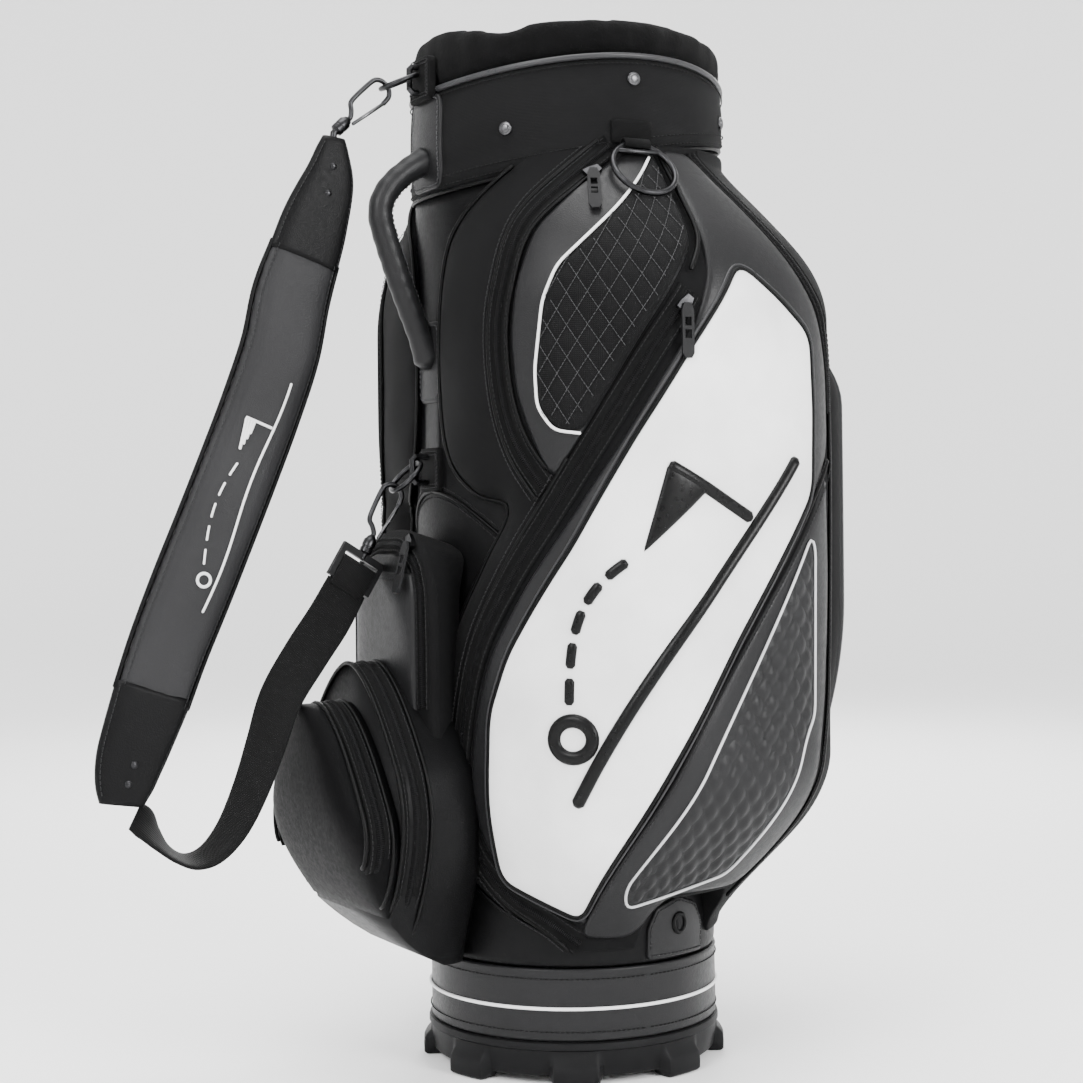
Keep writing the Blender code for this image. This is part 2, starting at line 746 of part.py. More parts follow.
def ribbon_section(centre, along, half_width, half_thick, twist=0.0):
    """A rounded rectangle across a path in the plane x = 0."""
    across = Vector((0, along.z, -along.y)).normalized()
    turn = Matrix.Rotation(math.radians(twist), 3, along)
    wide, thick = turn @ across * half_width, turn @ Vector((1, 0, 0)) * half_thick
    shape = [(1, -0.45), (1, 0.45), (0.86, 1), (-0.86, 1), (-1, 0.45), (-1, -0.45), (-0.86, -1), (0.86, -1)]
    return [centre + wide * a + thick * b for a, b in shape]


def ribbon(name, stations, look):
    """Stations of (y, z, half width, half thickness) and, where it turns over, a twist along a strap."""
    centres = [Vector((0, y, z)) for y, z, *_ in stations]
    sections = []
    for i, (_, _, *shape) in enumerate(stations):
        along = centres[min(i + 1, len(centres) - 1)] - centres[max(i - 1, 0)]
        sections.append(ribbon_section(centres[i], along.normalized(), *shape))
    return loft(name, sections, look)


def strap():
    ribbon("strap_cap_upper", [
        (-0.2247, 0.7922, 0.010, 0.0045), (-0.2262, 0.7800, 0.015, 0.0060),
        (-0.2300, 0.7549, 0.023, 0.0070), (-0.2417, 0.7215, 0.029, 0.0078), (-0.2507, 0.6950, 0.031, 0.0080),
    ], LEATHER)
    ribbon("strap_pad", [
        (-0.2513, 0.6936, 0.031, 0.0085), (-0.2642, 0.6558, 0.0335, 0.0100), (-0.2740, 0.6121, 0.034, 0.0105),
        (-0.2910, 0.5640, 0.034, 0.0105), (-0.3090, 0.5189, 0.034, 0.0105), (-0.3310, 0.4660, 0.034, 0.0105),
        (-0.3520, 0.4166, 0.034, 0.0105), (-0.3710, 0.3710, 0.033, 0.0100), (-0.3858, 0.3306, 0.032, 0.0085),
    ], LEATHER)
    ribbon("strap_cap_lower", [
        (-0.3862, 0.3294, 0.032, 0.0080), (-0.3965, 0.3020, 0.030, 0.0076),
        (-0.4037, 0.2817, 0.028, 0.0070), (-0.4085, 0.2620, 0.024, 0.0060), (-0.4110, 0.2470, 0.018, 0.0050),
    ], LEATHER)
    tail = [
        (-0.2166, 0.4160, 0), (-0.2330, 0.3890, 12), (-0.2540, 0.3600, 28), (-0.2760, 0.3260, 42),
        (-0.2890, 0.2900, 52), (-0.3020, 0.2550, 60), (-0.3180, 0.2230, 68), (-0.3360, 0.2030, 76),
        (-0.3540, 0.1975, 80), (-0.3700, 0.2050, 76), (-0.3830, 0.2190, 62),
    ]
    stations = [(y, z, 0.019, 0.0014, twist) for y, z, twist in tail]
    ends = [(-0.3920, 0.2310, 0.018, 0.0014, 45), (-0.4000, 0.2375, 0.013, 0.0014, 30)]
    ribbon("strap_webbing", [*stations, *ends], FABRIC)
    adjuster()


def adjuster():
    """The ladder buckle that shortens the strap, with two slots."""
    top = hook_frame(LOWER_ANCHOR, LOWER_TILT, LOWER_HOOK_LINE)[0] - LOWER_HOOK_LINE * 0.0130
    low = Vector((0, -0.2160, 0.4172))
    along = (low - top).normalized()
    length = (low - top).length
    across = Vector((0, along.z, -along.y))
    slots = [rectangle(x - 0.003, x + 0.003, 0.0165) for x in (-0.0065, 0.0065)]
    made = plate("strap_adjuster", [rectangle(-length / 2, length / 2, 0.021), *slots], 0.005, PLASTIC)
    middle = (top + low) / 2
    turn = Matrix((along, across, along.cross(across))).transposed().to_4x4()
    made.matrix_world = Matrix.Translation(middle) @ turn


# ---------------------------------------------------------------- towel ring


RING_ANGLE, RING_PIVOT_RADIUS, RING_PIVOT_HEIGHT = -7.0, 0.1465, 0.7790
RING_LEAN = 37.0  # from straight down, where the ring lies on the pocket's slope


def towel_ring():
    out, sideways = polar(1, RING_ANGLE, 0), polar(1, RING_ANGLE + 90, 0)
    pivot = out * RING_PIVOT_RADIUS + Vector((0, 0, RING_PIVOT_HEIGHT))
    down = out * math.sin(math.radians(RING_LEAN)) - Vector((0, 0, math.cos(math.radians(RING_LEAN))))
    points = []
    steps = 28
    for i in range(steps):
        turn = math.tau * i / steps
        drop = 0.0275 - 0.0285 * math.cos(turn)
        points.append(pivot + sideways * (0.0270 * math.sin(turn)) + down * max(0.0, drop))
    tube("towel_ring", points, 0.0026, METAL, closed=True)
    near, far = RING_ANGLE - 6.5, RING_ANGLE + 6.5
    outline = [(near, 0.7795), (far, 0.7795), (far, 0.8000), (near, 0.8000)]
    foot = tongue("towel_ring_tab", outline, CUFF_RADIUS + 0.0005, FABRIC)
    loop = []
    for i in range(12):
        turn = math.tau * i / 12
        reach = out * (0.0052 * math.cos(turn)) + Vector((0, 0, 0.0052 * math.sin(turn)))
        loop.append(pivot + reach)
    eye = applied(tube("towel_eye", loop, 0.0012, FABRIC, closed=True, into=CUTTERS))
    boolean(foot, "UNION", eye)


# ---------------------------------------------------------------- zips


def surface_point(surface, angle, height, side=1):
    point = polar(surface(angle, height), angle, height)
    return Vector((side * point.x, point.y, point.z))


def surface_normal(surface, angle, height, side=1):
    turn = surface_point(surface, angle + 1, height) - surface_point(surface, angle - 1, height)
    climb = surface_point(surface, angle, height + 0.004) - surface_point(surface, angle, height - 0.004)
    out = turn.cross(climb).normalized()
    return Vector((side * out.x, out.y, out.z))


def arch_point(x, y, top, half):
    """A point of the ball pocket's arch, the inverse of ball_width above its straight sides."""
    return Vector((x, y, top - 0.100 * (abs(x) / half) ** 1.5))


def arch_normal(x, half):
    slope = 0.150 * (abs(x) / half) ** 0.5 / half
    return Vector((math.copysign(slope, x), 0, 1)).normalized()


def zip_places():
    """Each zip's slider place, outward direction, and a second and third place that it slides to."""
    places = {}
    side_zips = {
        "upper": [(-22, 0.752), (-33, 0.731), (-41.5, 0.700)],
        "apparel": [(-4.5, 0.641), (-9, 0.6195), (-13, 0.5965)],
    }
    for side, label in ((1, "right"), (-1, "left")):
        for zip_name, spots in side_zips.items():
            out = surface_normal(envelope, *spots[0], side)
            places[f"{zip_name}_{label}"] = ([surface_point(envelope, *spot, side) for spot in spots], out)
    ball = [arch_point(x, -0.2060, BALL_TOP, BALL_HALF) for x in (-0.030, -0.065, -0.095)]
    places["ball"] = (ball, arch_normal(-0.030, BALL_HALF))
    front = [arch_point(x, -0.2350, 0.320, 0.101) for x in (-0.030, -0.060, -0.085)]
    places["ball_front"] = (front, arch_normal(-0.030, 0.101))
    pouch = [surface_point(accessory_surface, *spot) for spot in ((-76, 0.452), (-71, 0.425), (-69.5, 0.395))]
    places["accessory"] = (pouch, surface_normal(accessory_surface, -76, 0.452))
    rear = [surface_point(rear_surface, *spot) for spot in ((66, 0.704), (66, 0.690), (66, 0.676))]
    places["rear"] = (rear, surface_normal(rear_surface, 66, 0.704))
    return places


SLIDER_LIFT = 0.0016  # the slider's underside over the pocket's surface


def mirrored(half):
    """A closed outline from its half on the +y side."""
    return [(x, -y) for x, y in half] + half[::-1]


def zips():
    for label, (spots, out) in zip_places().items():
        run = spots[1] - spots[0]
        run = (run - out * run.dot(out)).normalized()
        across = out.cross(run)
        frame = Matrix((run, across, out)).transposed().to_4x4()
        foot = spots[0] + out * (SLIDER_LIFT + 0.0020)
        half = [(-0.0070, 0.0030), (0.0010, 0.0050), (0.0070, 0.0050)]
        slider = plate(f"zip_slider_{label}", [mirrored(half)], 0.0040, METAL)
        slider.matrix_world = Matrix.Translation(foot) @ frame
        hang = Vector((0, 0, -1)) + out * out.z
        hang = hang.normalized() if hang.length > 0.3 else run
        lateral = out.cross(hang).normalized()
        half = [(0, 0.0030), (0.006, 0.0052), (0.040, 0.0052), (0.044, 0.0030)]
        windows = [rectangle(x - 0.0035, x + 0.0035, 0.0028) for x in (0.015, 0.025)]
        pull = plate(f"zip_pull_{label}", [mirrored(half), *windows], 0.0022, PLASTIC)
        hinge = spots[0] + out * (SLIDER_LIFT + 0.0056)
        turn = Matrix((hang, lateral, hang.cross(lateral))).transposed().to_4x4()
        pull.matrix_world = Matrix.Translation(hinge) @ turn


# ---------------------------------------------------------------- the bag


def main():
    global SCENE_PARTS, CUTTERS
    clear_scene()
    SCENE_PARTS = collection(NAME)
    CUTTERS = collection("cutters")
    base_mould()
    tube_and_cover()
    cuff()
    top_divider()
    dividers()
    for side, label in ((1, "right"), (-1, "left")):
        side_pockets(side, label)
    rear_pocket()
    accessory_pocket()
    ball_pocket()
    ball_pocket_front()
    handle()
    snap_studs()
    keyhole_patch()
    for label, height, tilt, line in (("upper", UPPER_ANCHOR, UPPER_TILT, UPPER_HOOK_LINE),
                                      ("lower", LOWER_ANCHOR, LOWER_TILT, LOWER_HOOK_LINE)):
        strap_ring(f"strap_ring_{label}", height, tilt)
        snap_hook(label, hook_frame(height, tilt, line))
    ring_tab("ring_tab_upper", UPPER_ANCHOR - 0.001, CUFF_RADIUS + 0.0045)
    ring_tab("ring_tab_lower", LOWER_ANCHOR, CORE_HIGH + 0.0006)
    strap()
    towel_ring()
    zips()


main()
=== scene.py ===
"""Looks of the golf staff bag: leather, fabric, zips, stitches, strap and studio, round the CAD frame.

Metres, +Z up. A place on the round body is (angle, height), the angle in degrees from +X towards +Y.
Outlines are drawn on a flat sheet, ARC metres a degree wide, and wrapped onto the bag's surfaces.
"""

import json
import math

import bpy
import numpy as np
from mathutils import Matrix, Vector
from mathutils.geometry import delaunay_2d_cdt

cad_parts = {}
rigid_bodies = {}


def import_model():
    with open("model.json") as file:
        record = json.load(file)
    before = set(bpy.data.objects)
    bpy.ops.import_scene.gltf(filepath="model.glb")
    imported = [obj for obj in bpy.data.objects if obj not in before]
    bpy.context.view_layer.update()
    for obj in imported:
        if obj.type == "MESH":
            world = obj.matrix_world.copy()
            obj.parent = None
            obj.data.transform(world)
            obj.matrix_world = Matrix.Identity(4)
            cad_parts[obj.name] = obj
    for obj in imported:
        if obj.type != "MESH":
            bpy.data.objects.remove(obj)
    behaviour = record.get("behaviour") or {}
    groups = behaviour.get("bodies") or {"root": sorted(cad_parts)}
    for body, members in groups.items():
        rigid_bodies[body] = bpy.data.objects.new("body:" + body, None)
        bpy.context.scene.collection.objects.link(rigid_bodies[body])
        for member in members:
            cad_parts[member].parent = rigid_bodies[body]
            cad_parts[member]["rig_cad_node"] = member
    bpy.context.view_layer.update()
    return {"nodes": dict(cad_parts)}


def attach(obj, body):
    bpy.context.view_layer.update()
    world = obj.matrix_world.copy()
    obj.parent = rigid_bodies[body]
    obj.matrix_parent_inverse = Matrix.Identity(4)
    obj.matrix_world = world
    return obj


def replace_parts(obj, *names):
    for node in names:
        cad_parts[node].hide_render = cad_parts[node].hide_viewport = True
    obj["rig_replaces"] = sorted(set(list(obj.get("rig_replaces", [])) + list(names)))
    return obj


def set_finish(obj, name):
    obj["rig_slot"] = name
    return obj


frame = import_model()

ARC = 0.2 * math.pi / 180
STEP = 0.004  # spacing of the points along seams, piping and stitch lines
MIRROR = np.array([-1, 1, 1])
QUILT_PITCH, EMBOSS_PITCH = 0.0135, 0.0125

# Driving sizes, as in the CAD model
FRONT, SIDE, BACK = 0.150, 0.215, 0.200
REAR_SIDE, REAR_BACK = 0.118, 0.248
CUFF_RADIUS = 0.1375
COVER_INNER = 0.1185
STRAP_AXIS = -0.1545
BALL_TOP, BALL_HALF, BALL_DEPTH, BALL_BACK, BALL_FOOT = 0.352, 0.106, 0.262, 0.2145, 0.1375
FRONT_TOP, FRONT_HALF = 0.320, 0.104


# ---------------------------------------------------------------- surfaces


def ramp(value, low, high):
    return np.clip((np.asarray(value, float) - low) / (high - low), 0, 1)


def swell(value, low, high, power=1.0):
    """A quarter sine from 0 at low to 1 at high."""
    return np.sin(ramp(value, low, high) * np.pi / 2) ** power


def ease(value, low, high):
    t = ramp(value, low, high)
    return t * t * (3 - 2 * t)


def polar(radius, angle, height):
    turn = np.radians(angle)
    return np.stack([radius * np.cos(turn), radius * np.sin(turn), np.asarray(height) + 0 * turn], -1)


def core(height):
    """Radius of the padded tube cover."""
    return 0.126 + 0.009 * ramp(height, 0.10, 0.45)


def super_radius(angle, side, depth, power):
    turn = np.radians(angle)
    x, y = np.abs(np.cos(turn)) / side, np.abs(np.sin(turn)) / depth
    return (x**power + y**power) ** (-1 / power)


def envelope(angle, height):
    """Radius of the outer surface that the side and rear pockets share."""
    full = swell(-height, -0.785, -0.640, 1.25) * swell(height, 0.110, 0.270, 1.5)
    base = core(height)
    front = np.sin(np.radians(angle)) < 0
    depth = np.where(front, FRONT, BACK)
    power = np.where(front, 2 + 0.1 * full, 2 + full)
    return super_radius(angle, base + (SIDE - base) * full, base + (depth - base) * full, power)


def rear_surface(angle, height):
    """Radius of the rear pocket, which stands out of the shared surface between its two side seams."""
    base = envelope(angle, height)
    full = swell(-height, -0.648, -0.575) * swell(height, 0.205, 0.400)
    return base + np.maximum(0.0, super_radius(angle, REAR_SIDE, REAR_BACK, 5) - base) * full


def accessory_surface(angle, height):
    return super_radius(angle, 0.100, 0.182, 5) - 0.012 * ramp(height, 0.40, 0.47) ** 2


def cuff_seam(angle):
    return 0.777 + 0.19 * CUFF_RADIUS * np.sin(np.radians(angle))


def cuff_piping_height(angle):
    turn = np.radians(angle)
    return 0.842 + 0.003 * np.sin(turn) + 0.014 * np.cos(turn) ** 2


def collar_height(angle):
    """The collar's top edge: higher at both sides and at the front hand hold."""
    turn = np.radians(angle)
    from_front = np.abs((np.asarray(angle) + 90 + 180) % 360 - 180)
    hump = 0.009 * np.exp(-((from_front / 22) ** 2)) - 0.006 * np.exp(-(((from_front - 37) / 9) ** 2))
    return 0.884 + 0.005 * np.cos(turn) ** 2 + hump


# ---------------------------------------------------------------- flat outlines


def sheet(outline):
    return np.array([(angle * ARC, height) for angle, height in outline], float)


def resample(points, spacing, closed=False):
    """Points along a line, evenly spaced, its corners rounded off by no more than that."""
    points = np.asarray(points, float)
    if closed:
        points = np.vstack([points, points[:1]])
    steps = np.linalg.norm(np.diff(points, axis=0), axis=1)
    far = np.concatenate([[0], np.cumsum(steps)])
    count = max(3 if closed else 1, int(round(far[-1] / spacing)))
    wanted = np.linspace(0, far[-1], count + 1)[: count if closed else count + 1]
    return np.stack([np.interp(wanted, far, points[:, i]) for i in range(points.shape[1])], -1)


def rounded(points, radius, closed=True):
    """Cuts each corner of an outline with a curve that starts at most a radius from it."""
    count, result = len(points), []
    for i in range(count):
        if not closed and i in (0, count - 1):
            result.append(points[i])
            continue
        here, before, after = points[i], points[i - 1], points[(i + 1) % count]
        start = here + (before - here) * min(0.49, radius / max(1e-9, np.linalg.norm(before - here)))
        end = here + (after - here) * min(0.49, radius / max(1e-9, np.linalg.norm(after - here)))
        result += [(1 - t) ** 2 * start + 2 * t * (1 - t) * here + t * t * end for t in np.linspace(0, 1, 7)]
    return np.array(result)


def through(points, per=10, closed=False):
    """A smooth curve through points."""
    points = np.asarray(points, float)
    if closed:
        ends = np.vstack([points[-1:], points, points[:2]])
    else:
        ends = np.vstack([2 * points[0] - points[1], points, 2 * points[-1] - points[-2]])
    path = []
    for a, b, c, d in zip(ends, ends[1:], ends[2:], ends[3:]):
        for t in np.arange(per) / per:
            path.append(0.5 * (2 * b + (c - a) * t + (2 * a - 5 * b + 4 * c - d) * t**2
                               + (3 * b - 3 * c + d - a) * t**3))
    return np.array(path if closed else [*path, points[-1]])


def sideways(path, closed=False):
    """Unit vectors to the left of a flat path."""
    if closed:
        along = np.roll(path, -1, 0) - np.roll(path, 1, 0)
    else:
        along = np.gradient(path, axis=0)
    along /= np.linalg.norm(along, axis=1)[:, None] + 1e-12
    return np.stack([-along[:, 1], along[:, 0]], -1)


def shifted(path, distance):
    """A flat path moved to its left."""
    return path + sideways(path) * distance


def shifted_ring(ring, distance):
    return ring + sideways(ring, closed=True) * distance


def gap_to(points, line, closed=True):
    """Distance of each point to a line."""
    ends = np.roll(line, -1, 0) if closed else line[1:]
    starts = line if closed else line[:-1]
    best = np.full(len(points), 9.0)
    for a, b in zip(starts, ends):
        along = b - a
        t = np.clip((points - a) @ along / (along @ along + 1e-15), 0, 1)
        best = np.minimum(best, np.linalg.norm(points - a - t[:, None] * along, axis=1))
    return best


def within(points, outline):
    inside = np.zeros(len(points), bool)
    for a, b in zip(outline, np.roll(outline, -1, 0)):
        crosses = (a[1] > points[:, 1]) != (b[1] > points[:, 1])
        if crosses.any() and a[1] != b[1]:
            inside ^= crosses & (points[:, 0] < a[0] + (points[:, 1] - a[1]) / (b[1] - a[1]) * (b[0] - a[0]))
    return inside


def on_surface(surface, flat, lift):
    """Places in space of flat points, lifted off a surface, and the surface's outward normals there."""
    angle, height = flat[:, 0] / ARC, flat[:, 1]
    turn, climb = 0.4, 0.0015
    here = polar(surface(angle, height), angle, height)
    across = polar(surface(angle + turn, height), angle + turn, height)
    across -= polar(surface(angle - turn, height), angle - turn, height)
    upward = polar(surface(angle, height + climb), angle, height + climb)
    upward -= polar(surface(angle, height - climb), angle, height - climb)
    normal = np.cross(across, upward)
    normal /= np.linalg.norm(normal, axis=1)[:, None]
    return here + normal * np.reshape(lift, (-1, 1)), normal


# ---------------------------------------------------------------- meshes


class Shape:
    """Vertices and faces that grow into one piece."""

    def __init__(self):
        self.verts, self.faces = [], []

    def add(self, verts, faces):
        start = len(self.verts)
        self.verts += [tuple(v) for v in verts]
        self.faces += [[i + start for i in face] for face in faces]
        return self


def piece(name, shape, look, body="bag", slot=None, sharp=None, stands_for=None):
    """A new object that rides on a CAD body. Edges sharper than sharp, in degrees, stay hard."""
    mesh = bpy.data.meshes.new(name)
    mesh.from_pydata(shape.verts, [], shape.faces)
    mesh.validate()
    obj = bpy.data.objects.new(name, mesh)
    bpy.context.scene.collection.objects.link(obj)
    mesh.materials.append(look)
    mesh.shade_smooth()
    if sharp:
        mesh.set_sharp_from_angle(angle=math.radians(sharp))
    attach(obj, body)
    if slot:
        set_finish(obj, slot)
    if stands_for:
        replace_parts(obj, stands_for)
    return obj


def skin(sections, closed=False, ring=True, caps=False):
    """Quads between sections. ring joins each section's ends, closed the first and last section."""
    rows, count = len(sections), len(sections[0])
    verts = [tuple(p) for section in sections for p in section]
    faces = []
    for r in range(rows if closed else rows - 1):
        low, high = r * count, (r + 1) % rows * count
        for i in range(count if ring else count - 1):
            j = (i + 1) % count
            faces.append((low + i, low + j, high + j, high + i))
    if caps:
        faces += [tuple(range(count))[::-1], tuple((rows - 1) * count + i for i in range(count))]
    return verts, faces


def solid(verts, faces):
    """The same closed mesh with its faces turned outwards."""
    places = np.asarray(verts, float)
    fans = [(f[0], f[i], f[i + 1]) for f in faces for i in range(1, len(f) - 1)]
    volume = sum(places[a] @ np.cross(places[b], places[c]) for a, b, c in fans)
    return (verts, faces) if volume > 0 else (verts, [tuple(f)[::-1] for f in faces])


def frames(points, closed=False, first=None):
    """Tangents and two cross directions along a path, turned as little as possible."""
    points = np.asarray(points, float)
    if closed:
        along = np.roll(points, -1, 0) - np.roll(points, 1, 0)
    else:
        along = np.gradient(points, axis=0)
    along /= np.linalg.norm(along, axis=1)[:, None] + 1e-12
    side = np.cross(along[0], first if first is not None else (0.3, 0.5, 0.81))
    side /= np.linalg.norm(side)
    sides = []
    for tangent in along:
        side = side - tangent * (side @ tangent)
        side /= np.linalg.norm(side)
        sides.append(side)
    sides = np.array(sides)
    return along, sides, np.cross(along, sides)


def tube(points, radius, sides=10, closed=False, flat=1.0, first=None):
    """A round tube with domed ends; flat squeezes it along its second cross direction."""
    points = np.asarray(points, float)
    radius = np.broadcast_to(np.asarray(radius, float), (len(points),))
    along, one, two = frames(points, closed, first)
    if not closed:
        ends = points[0] - along[0] * radius[0] * 0.6, points[-1] + along[-1] * radius[-1] * 0.6
        points = np.vstack([ends[0], points, ends[1]])
        radius = np.concatenate([[radius[0] * 0.55], radius, [radius[-1] * 0.55]])
        one, two = (np.vstack([v[:1], v, v[-1:]]) for v in (one, two))
    turns = np.linspace(0, math.tau, sides, endpoint=False)
    sections = [
        p + r * (np.outer(np.cos(turns), a) + flat * np.outer(np.sin(turns), b))
        for p, r, a, b in zip(points, radius, one, two)
    ]
    return skin(sections, closed=closed, caps=not closed)


def tubed(name, points, radius, look, body="bag", slot=None, stands_for=None, **settings):
    made = Shape().add(*tube(points, radius, **settings))
    return piece(name, made, look, body, slot, stands_for=stands_for)


def lofted(name, sections, look, body="bag", slot=None, stands_for=None):
    made = Shape().add(*solid(*skin(sections, caps=True)))
    return piece(name, made, look, body, slot, stands_for=stands_for)


def ribbon(path, normals, widths, lifts):
    """A strip along a path in space: cross offsets (widths) at heights (lifts) over the surface."""
    along = frames(path)[0]
    across = np.cross(normals, along)
    across /= np.linalg.norm(across, axis=1)[:, None]
    sections = [
        [p + a * w + n * l for w, l in zip(widths, lifts)] for p, a, n in zip(path, across, normals)
    ]
    verts, faces = skin(sections, ring=False)
    return verts, [face[::-1] for face in faces]


def stitches(shape, path, normals, length=0.0030, pitch=0.0044, radius=0.00042, lift=0.0002, closed=False):
    """Short arched threads along a path in space."""
    if closed:
        path, normals = np.vstack([path, path[:1]]), np.vstack([normals, normals[:1]])
    far = np.concatenate([[0], np.cumsum(np.linalg.norm(np.diff(path, axis=0), axis=1))])

    def at(values, place):
        return np.stack([np.interp(place, far, values[:, i]) for i in range(3)], -1)

    for start in np.arange(pitch / 2, far[-1] - length, pitch):
        places = start + np.array([0, 0.25, 0.75, 1]) * length
        heights = lift + radius * np.array([-0.9, 0.5, 0.5, -0.9])
        shape.add(*tube(at(path, places) + at(normals, places) * heights[:, None], radius, sides=5))
    return shape


def sew(shape, surface, flat, lift, **thread):
    """Stitches along a flat path."""
    return stitches(shape, *on_surface(surface, flat, lift), **thread)


def sew_rim(shape, outline, surface, lift, inset, corner, spacing=STEP, **thread):
    """Stitches all round a patch, an inset from its edge."""
    rim = shifted_ring(resample(rounded(sheet(outline), corner), spacing, True), inset)
    return sew(shape, surface, rim, lift, closed=True, **thread)


def patch_mesh(outline, surface, lift, roll, crown, spacing, corner, relief, skirt):
    """A sewn panel wrapped on a surface, with rolled edges, a slight crown and a relief."""
    border = resample(rounded(sheet(outline), corner), spacing, closed=True)
    area = np.sum(border[:, 0] * np.roll(border[:, 1], -1) - np.roll(border[:, 0], -1) * border[:, 1])
    if area < 0:
        border = border[::-1]
    inward = sideways(border, closed=True)
    points = [border]
    for share in (0.35, 1.0):
        ring = border + inward * roll * share
        points.append(ring[(gap_to(ring, border) > roll * share * 0.93) & within(ring, border)])
    low, high = border.min(0), border.max(0)
    rows = max(2, int(round((high[1] - low[1]) / (spacing * 0.87))))
    heights = low[1] + (high[1] - low[1]) * np.arange(1, rows) / rows
    columns = np.arange(low[0], high[0], spacing)
    grid = np.array([(x + spacing * 0.5 * (row % 2), y) for row, y in enumerate(heights) for x in columns])
    keep = within(grid, border)
    grid = grid[keep]
    points.append(grid[gap_to(grid, border) > roll + spacing * 0.5])
    everything = [Vector(p) for p in np.vstack(points)]
    flat, _, triangles, *_ = delaunay_2d_cdt(everything, [], [list(range(len(border)))], 1, 1e-7)
    flat = np.array([tuple(p) for p in flat])
    depth = gap_to(flat, border)
    edge = 1 - (1 - ramp(depth, 0, roll)) ** 2
    height = lift - roll * 0.7 + roll * 0.7 * np.sqrt(edge) + crown * (1 - np.exp(-depth / 0.018))
    if relief is not None:
        height = height + relief(flat) * ease(depth, roll * 0.5, roll * 0.5 + 0.004)
    verts, normals = on_surface(surface, flat, height)
    uses, faces = {}, [tuple(t) for t in triangles]
    for a, b, c in faces:
        for pair in ((a, b), (b, c), (c, a)):
            uses[pair] = True
    hems, low_verts = {}, []
    for a, b in [pair for pair in uses if pair[::-1] not in uses]:
        for i in (a, b):
            if i not in hems:
                hems[i] = len(verts) + len(low_verts)
                low = verts[i] - normals[i] * skirt
                low[:2] *= max(1.0, (COVER_INNER + 0.001) / math.hypot(low[0], low[1]))
                low_verts.append(low)
        faces.append((b, a, hems[a], hems[b]))
    return np.vstack([verts, low_verts]), faces


def patch(name, outline, surface, look, lift=0.002, roll=0.0025, crown=0.0, spacing=0.006, corner=0.005,
          relief=None, skirt=0.004, slot="pocket_leather", stands_for=None):
    made = Shape().add(*patch_mesh(outline, surface, lift, roll, crown, spacing, corner, relief, skirt))
    return piece(name, made, look, slot=slot, stands_for=stands_for)


def seam_line(name, flat, surface, look, lift, radius, closed=False):
    """Piping along a flat path."""
    places, _ = on_surface(surface, resample(flat, STEP, closed), lift)
    tubed(name, places, radius, look, slot="cover_fabric", sides=8, closed=closed)


def sewn(name, flat_paths, surface, look, lift, pitch=0.0044, length=0.0030, radius=0.0004):
    made = Shape()
    for flat in flat_paths:
        sew(made, surface, resample(flat, STEP), lift, length=length, pitch=pitch, radius=radius)
    piece(name, made, look, slot="cover_fabric")


# ---------------------------------------------------------------- materials


class Look:
    """A material being built from a Principled shader."""

    def __init__(self, name, roughness, metallic=0.0, specular=0.5, sheen=0.0):
        self.made = bpy.data.materials.new(name)
        self.made.use_nodes = True
        self.tree = self.made.node_tree
        self.shader = self.tree.nodes["Principled BSDF"]
        self.shader.inputs["Metallic"].default_value = metallic
        self.shader.inputs["Roughness"].default_value = roughness
        self.shader.inputs["Specular IOR Level"].default_value = specular
        self.shader.inputs["Sheen Weight"].default_value = sheen
        self.place = self.node("TexCoord").outputs["Object"]

    def node(self, kind, inputs=None, **settings):
        made = self.tree.nodes.new("ShaderNode" + kind)
        for key, value in settings.items():
            setattr(made, key, value)
        for key, value in (inputs or {}).items():
            if isinstance(value, bpy.types.NodeSocket):
                self.tree.links.new(value, made.inputs[key])
            else:
                made.inputs[key].default_value = value
        return made

    def math(self, operation, a, b=0.0):
        return self.node("Math", {0: a, 1: b}, operation=operation).outputs[0]

    def noise(self, scale, detail=2.0, roughness=0.5):
        inputs = {"Vector": self.place, "Scale": scale, "Detail": detail, "Roughness": roughness}
        return self.node("TexNoise", inputs).outputs["Fac"]

    def cells(self, size):
        return self.node("TexVoronoi", {"Vector": self.place, "Scale": 1 / size}).outputs["Distance"]

    def sheet_place(self):
        """The distance round the bag and the height, in metres."""
        split = self.node("SeparateXYZ", {0: self.place})
        turn = self.math("ARCTAN2", split.outputs["Y"], split.outputs["X"])
        return self.math("MULTIPLY", turn, 0.2), split.outputs["Z"]

    def ribs(self, place, size):
        """A wave from 0 to 1 that repeats each size along a place."""
        wave = self.math("SINE", self.math("MULTIPLY", place, math.tau / size))
        return self.math("MULTIPLY_ADD", wave, 0.5)

    def tint(self, fac, colour, low, high):
        """A colour that goes from low to high times itself."""
        stops = self.node("ValToRGB", {"Fac": fac})
        for stop, place, share in zip(stops.color_ramp.elements, (0.3, 0.7), (low, high)):
            stop.position, stop.color = place, (*[c * share for c in colour], 1)
        self.tree.links.new(stops.outputs["Color"], self.shader.inputs["Base Color"])

    def gloss(self, fac, low, high):
        inputs = {"Value": fac, "From Min": 0.3, "From Max": 0.7, "To Min": low, "To Max": high}
        span = self.node("MapRange", inputs)
        self.tree.links.new(span.outputs["Result"], self.shader.inputs["Roughness"])

    def bumps(self, *layers):
        """Layers of (height, depth in metres), one on the other."""
        last = None
        for height, depth in layers:
            inputs = {"Height": height, "Distance": depth, "Strength": 1.0}
            if last is not None:
                inputs["Normal"] = last
            last = self.node("Bump", inputs).outputs["Normal"]
        self.tree.links.new(last, self.shader.inputs["Normal"])
        return self


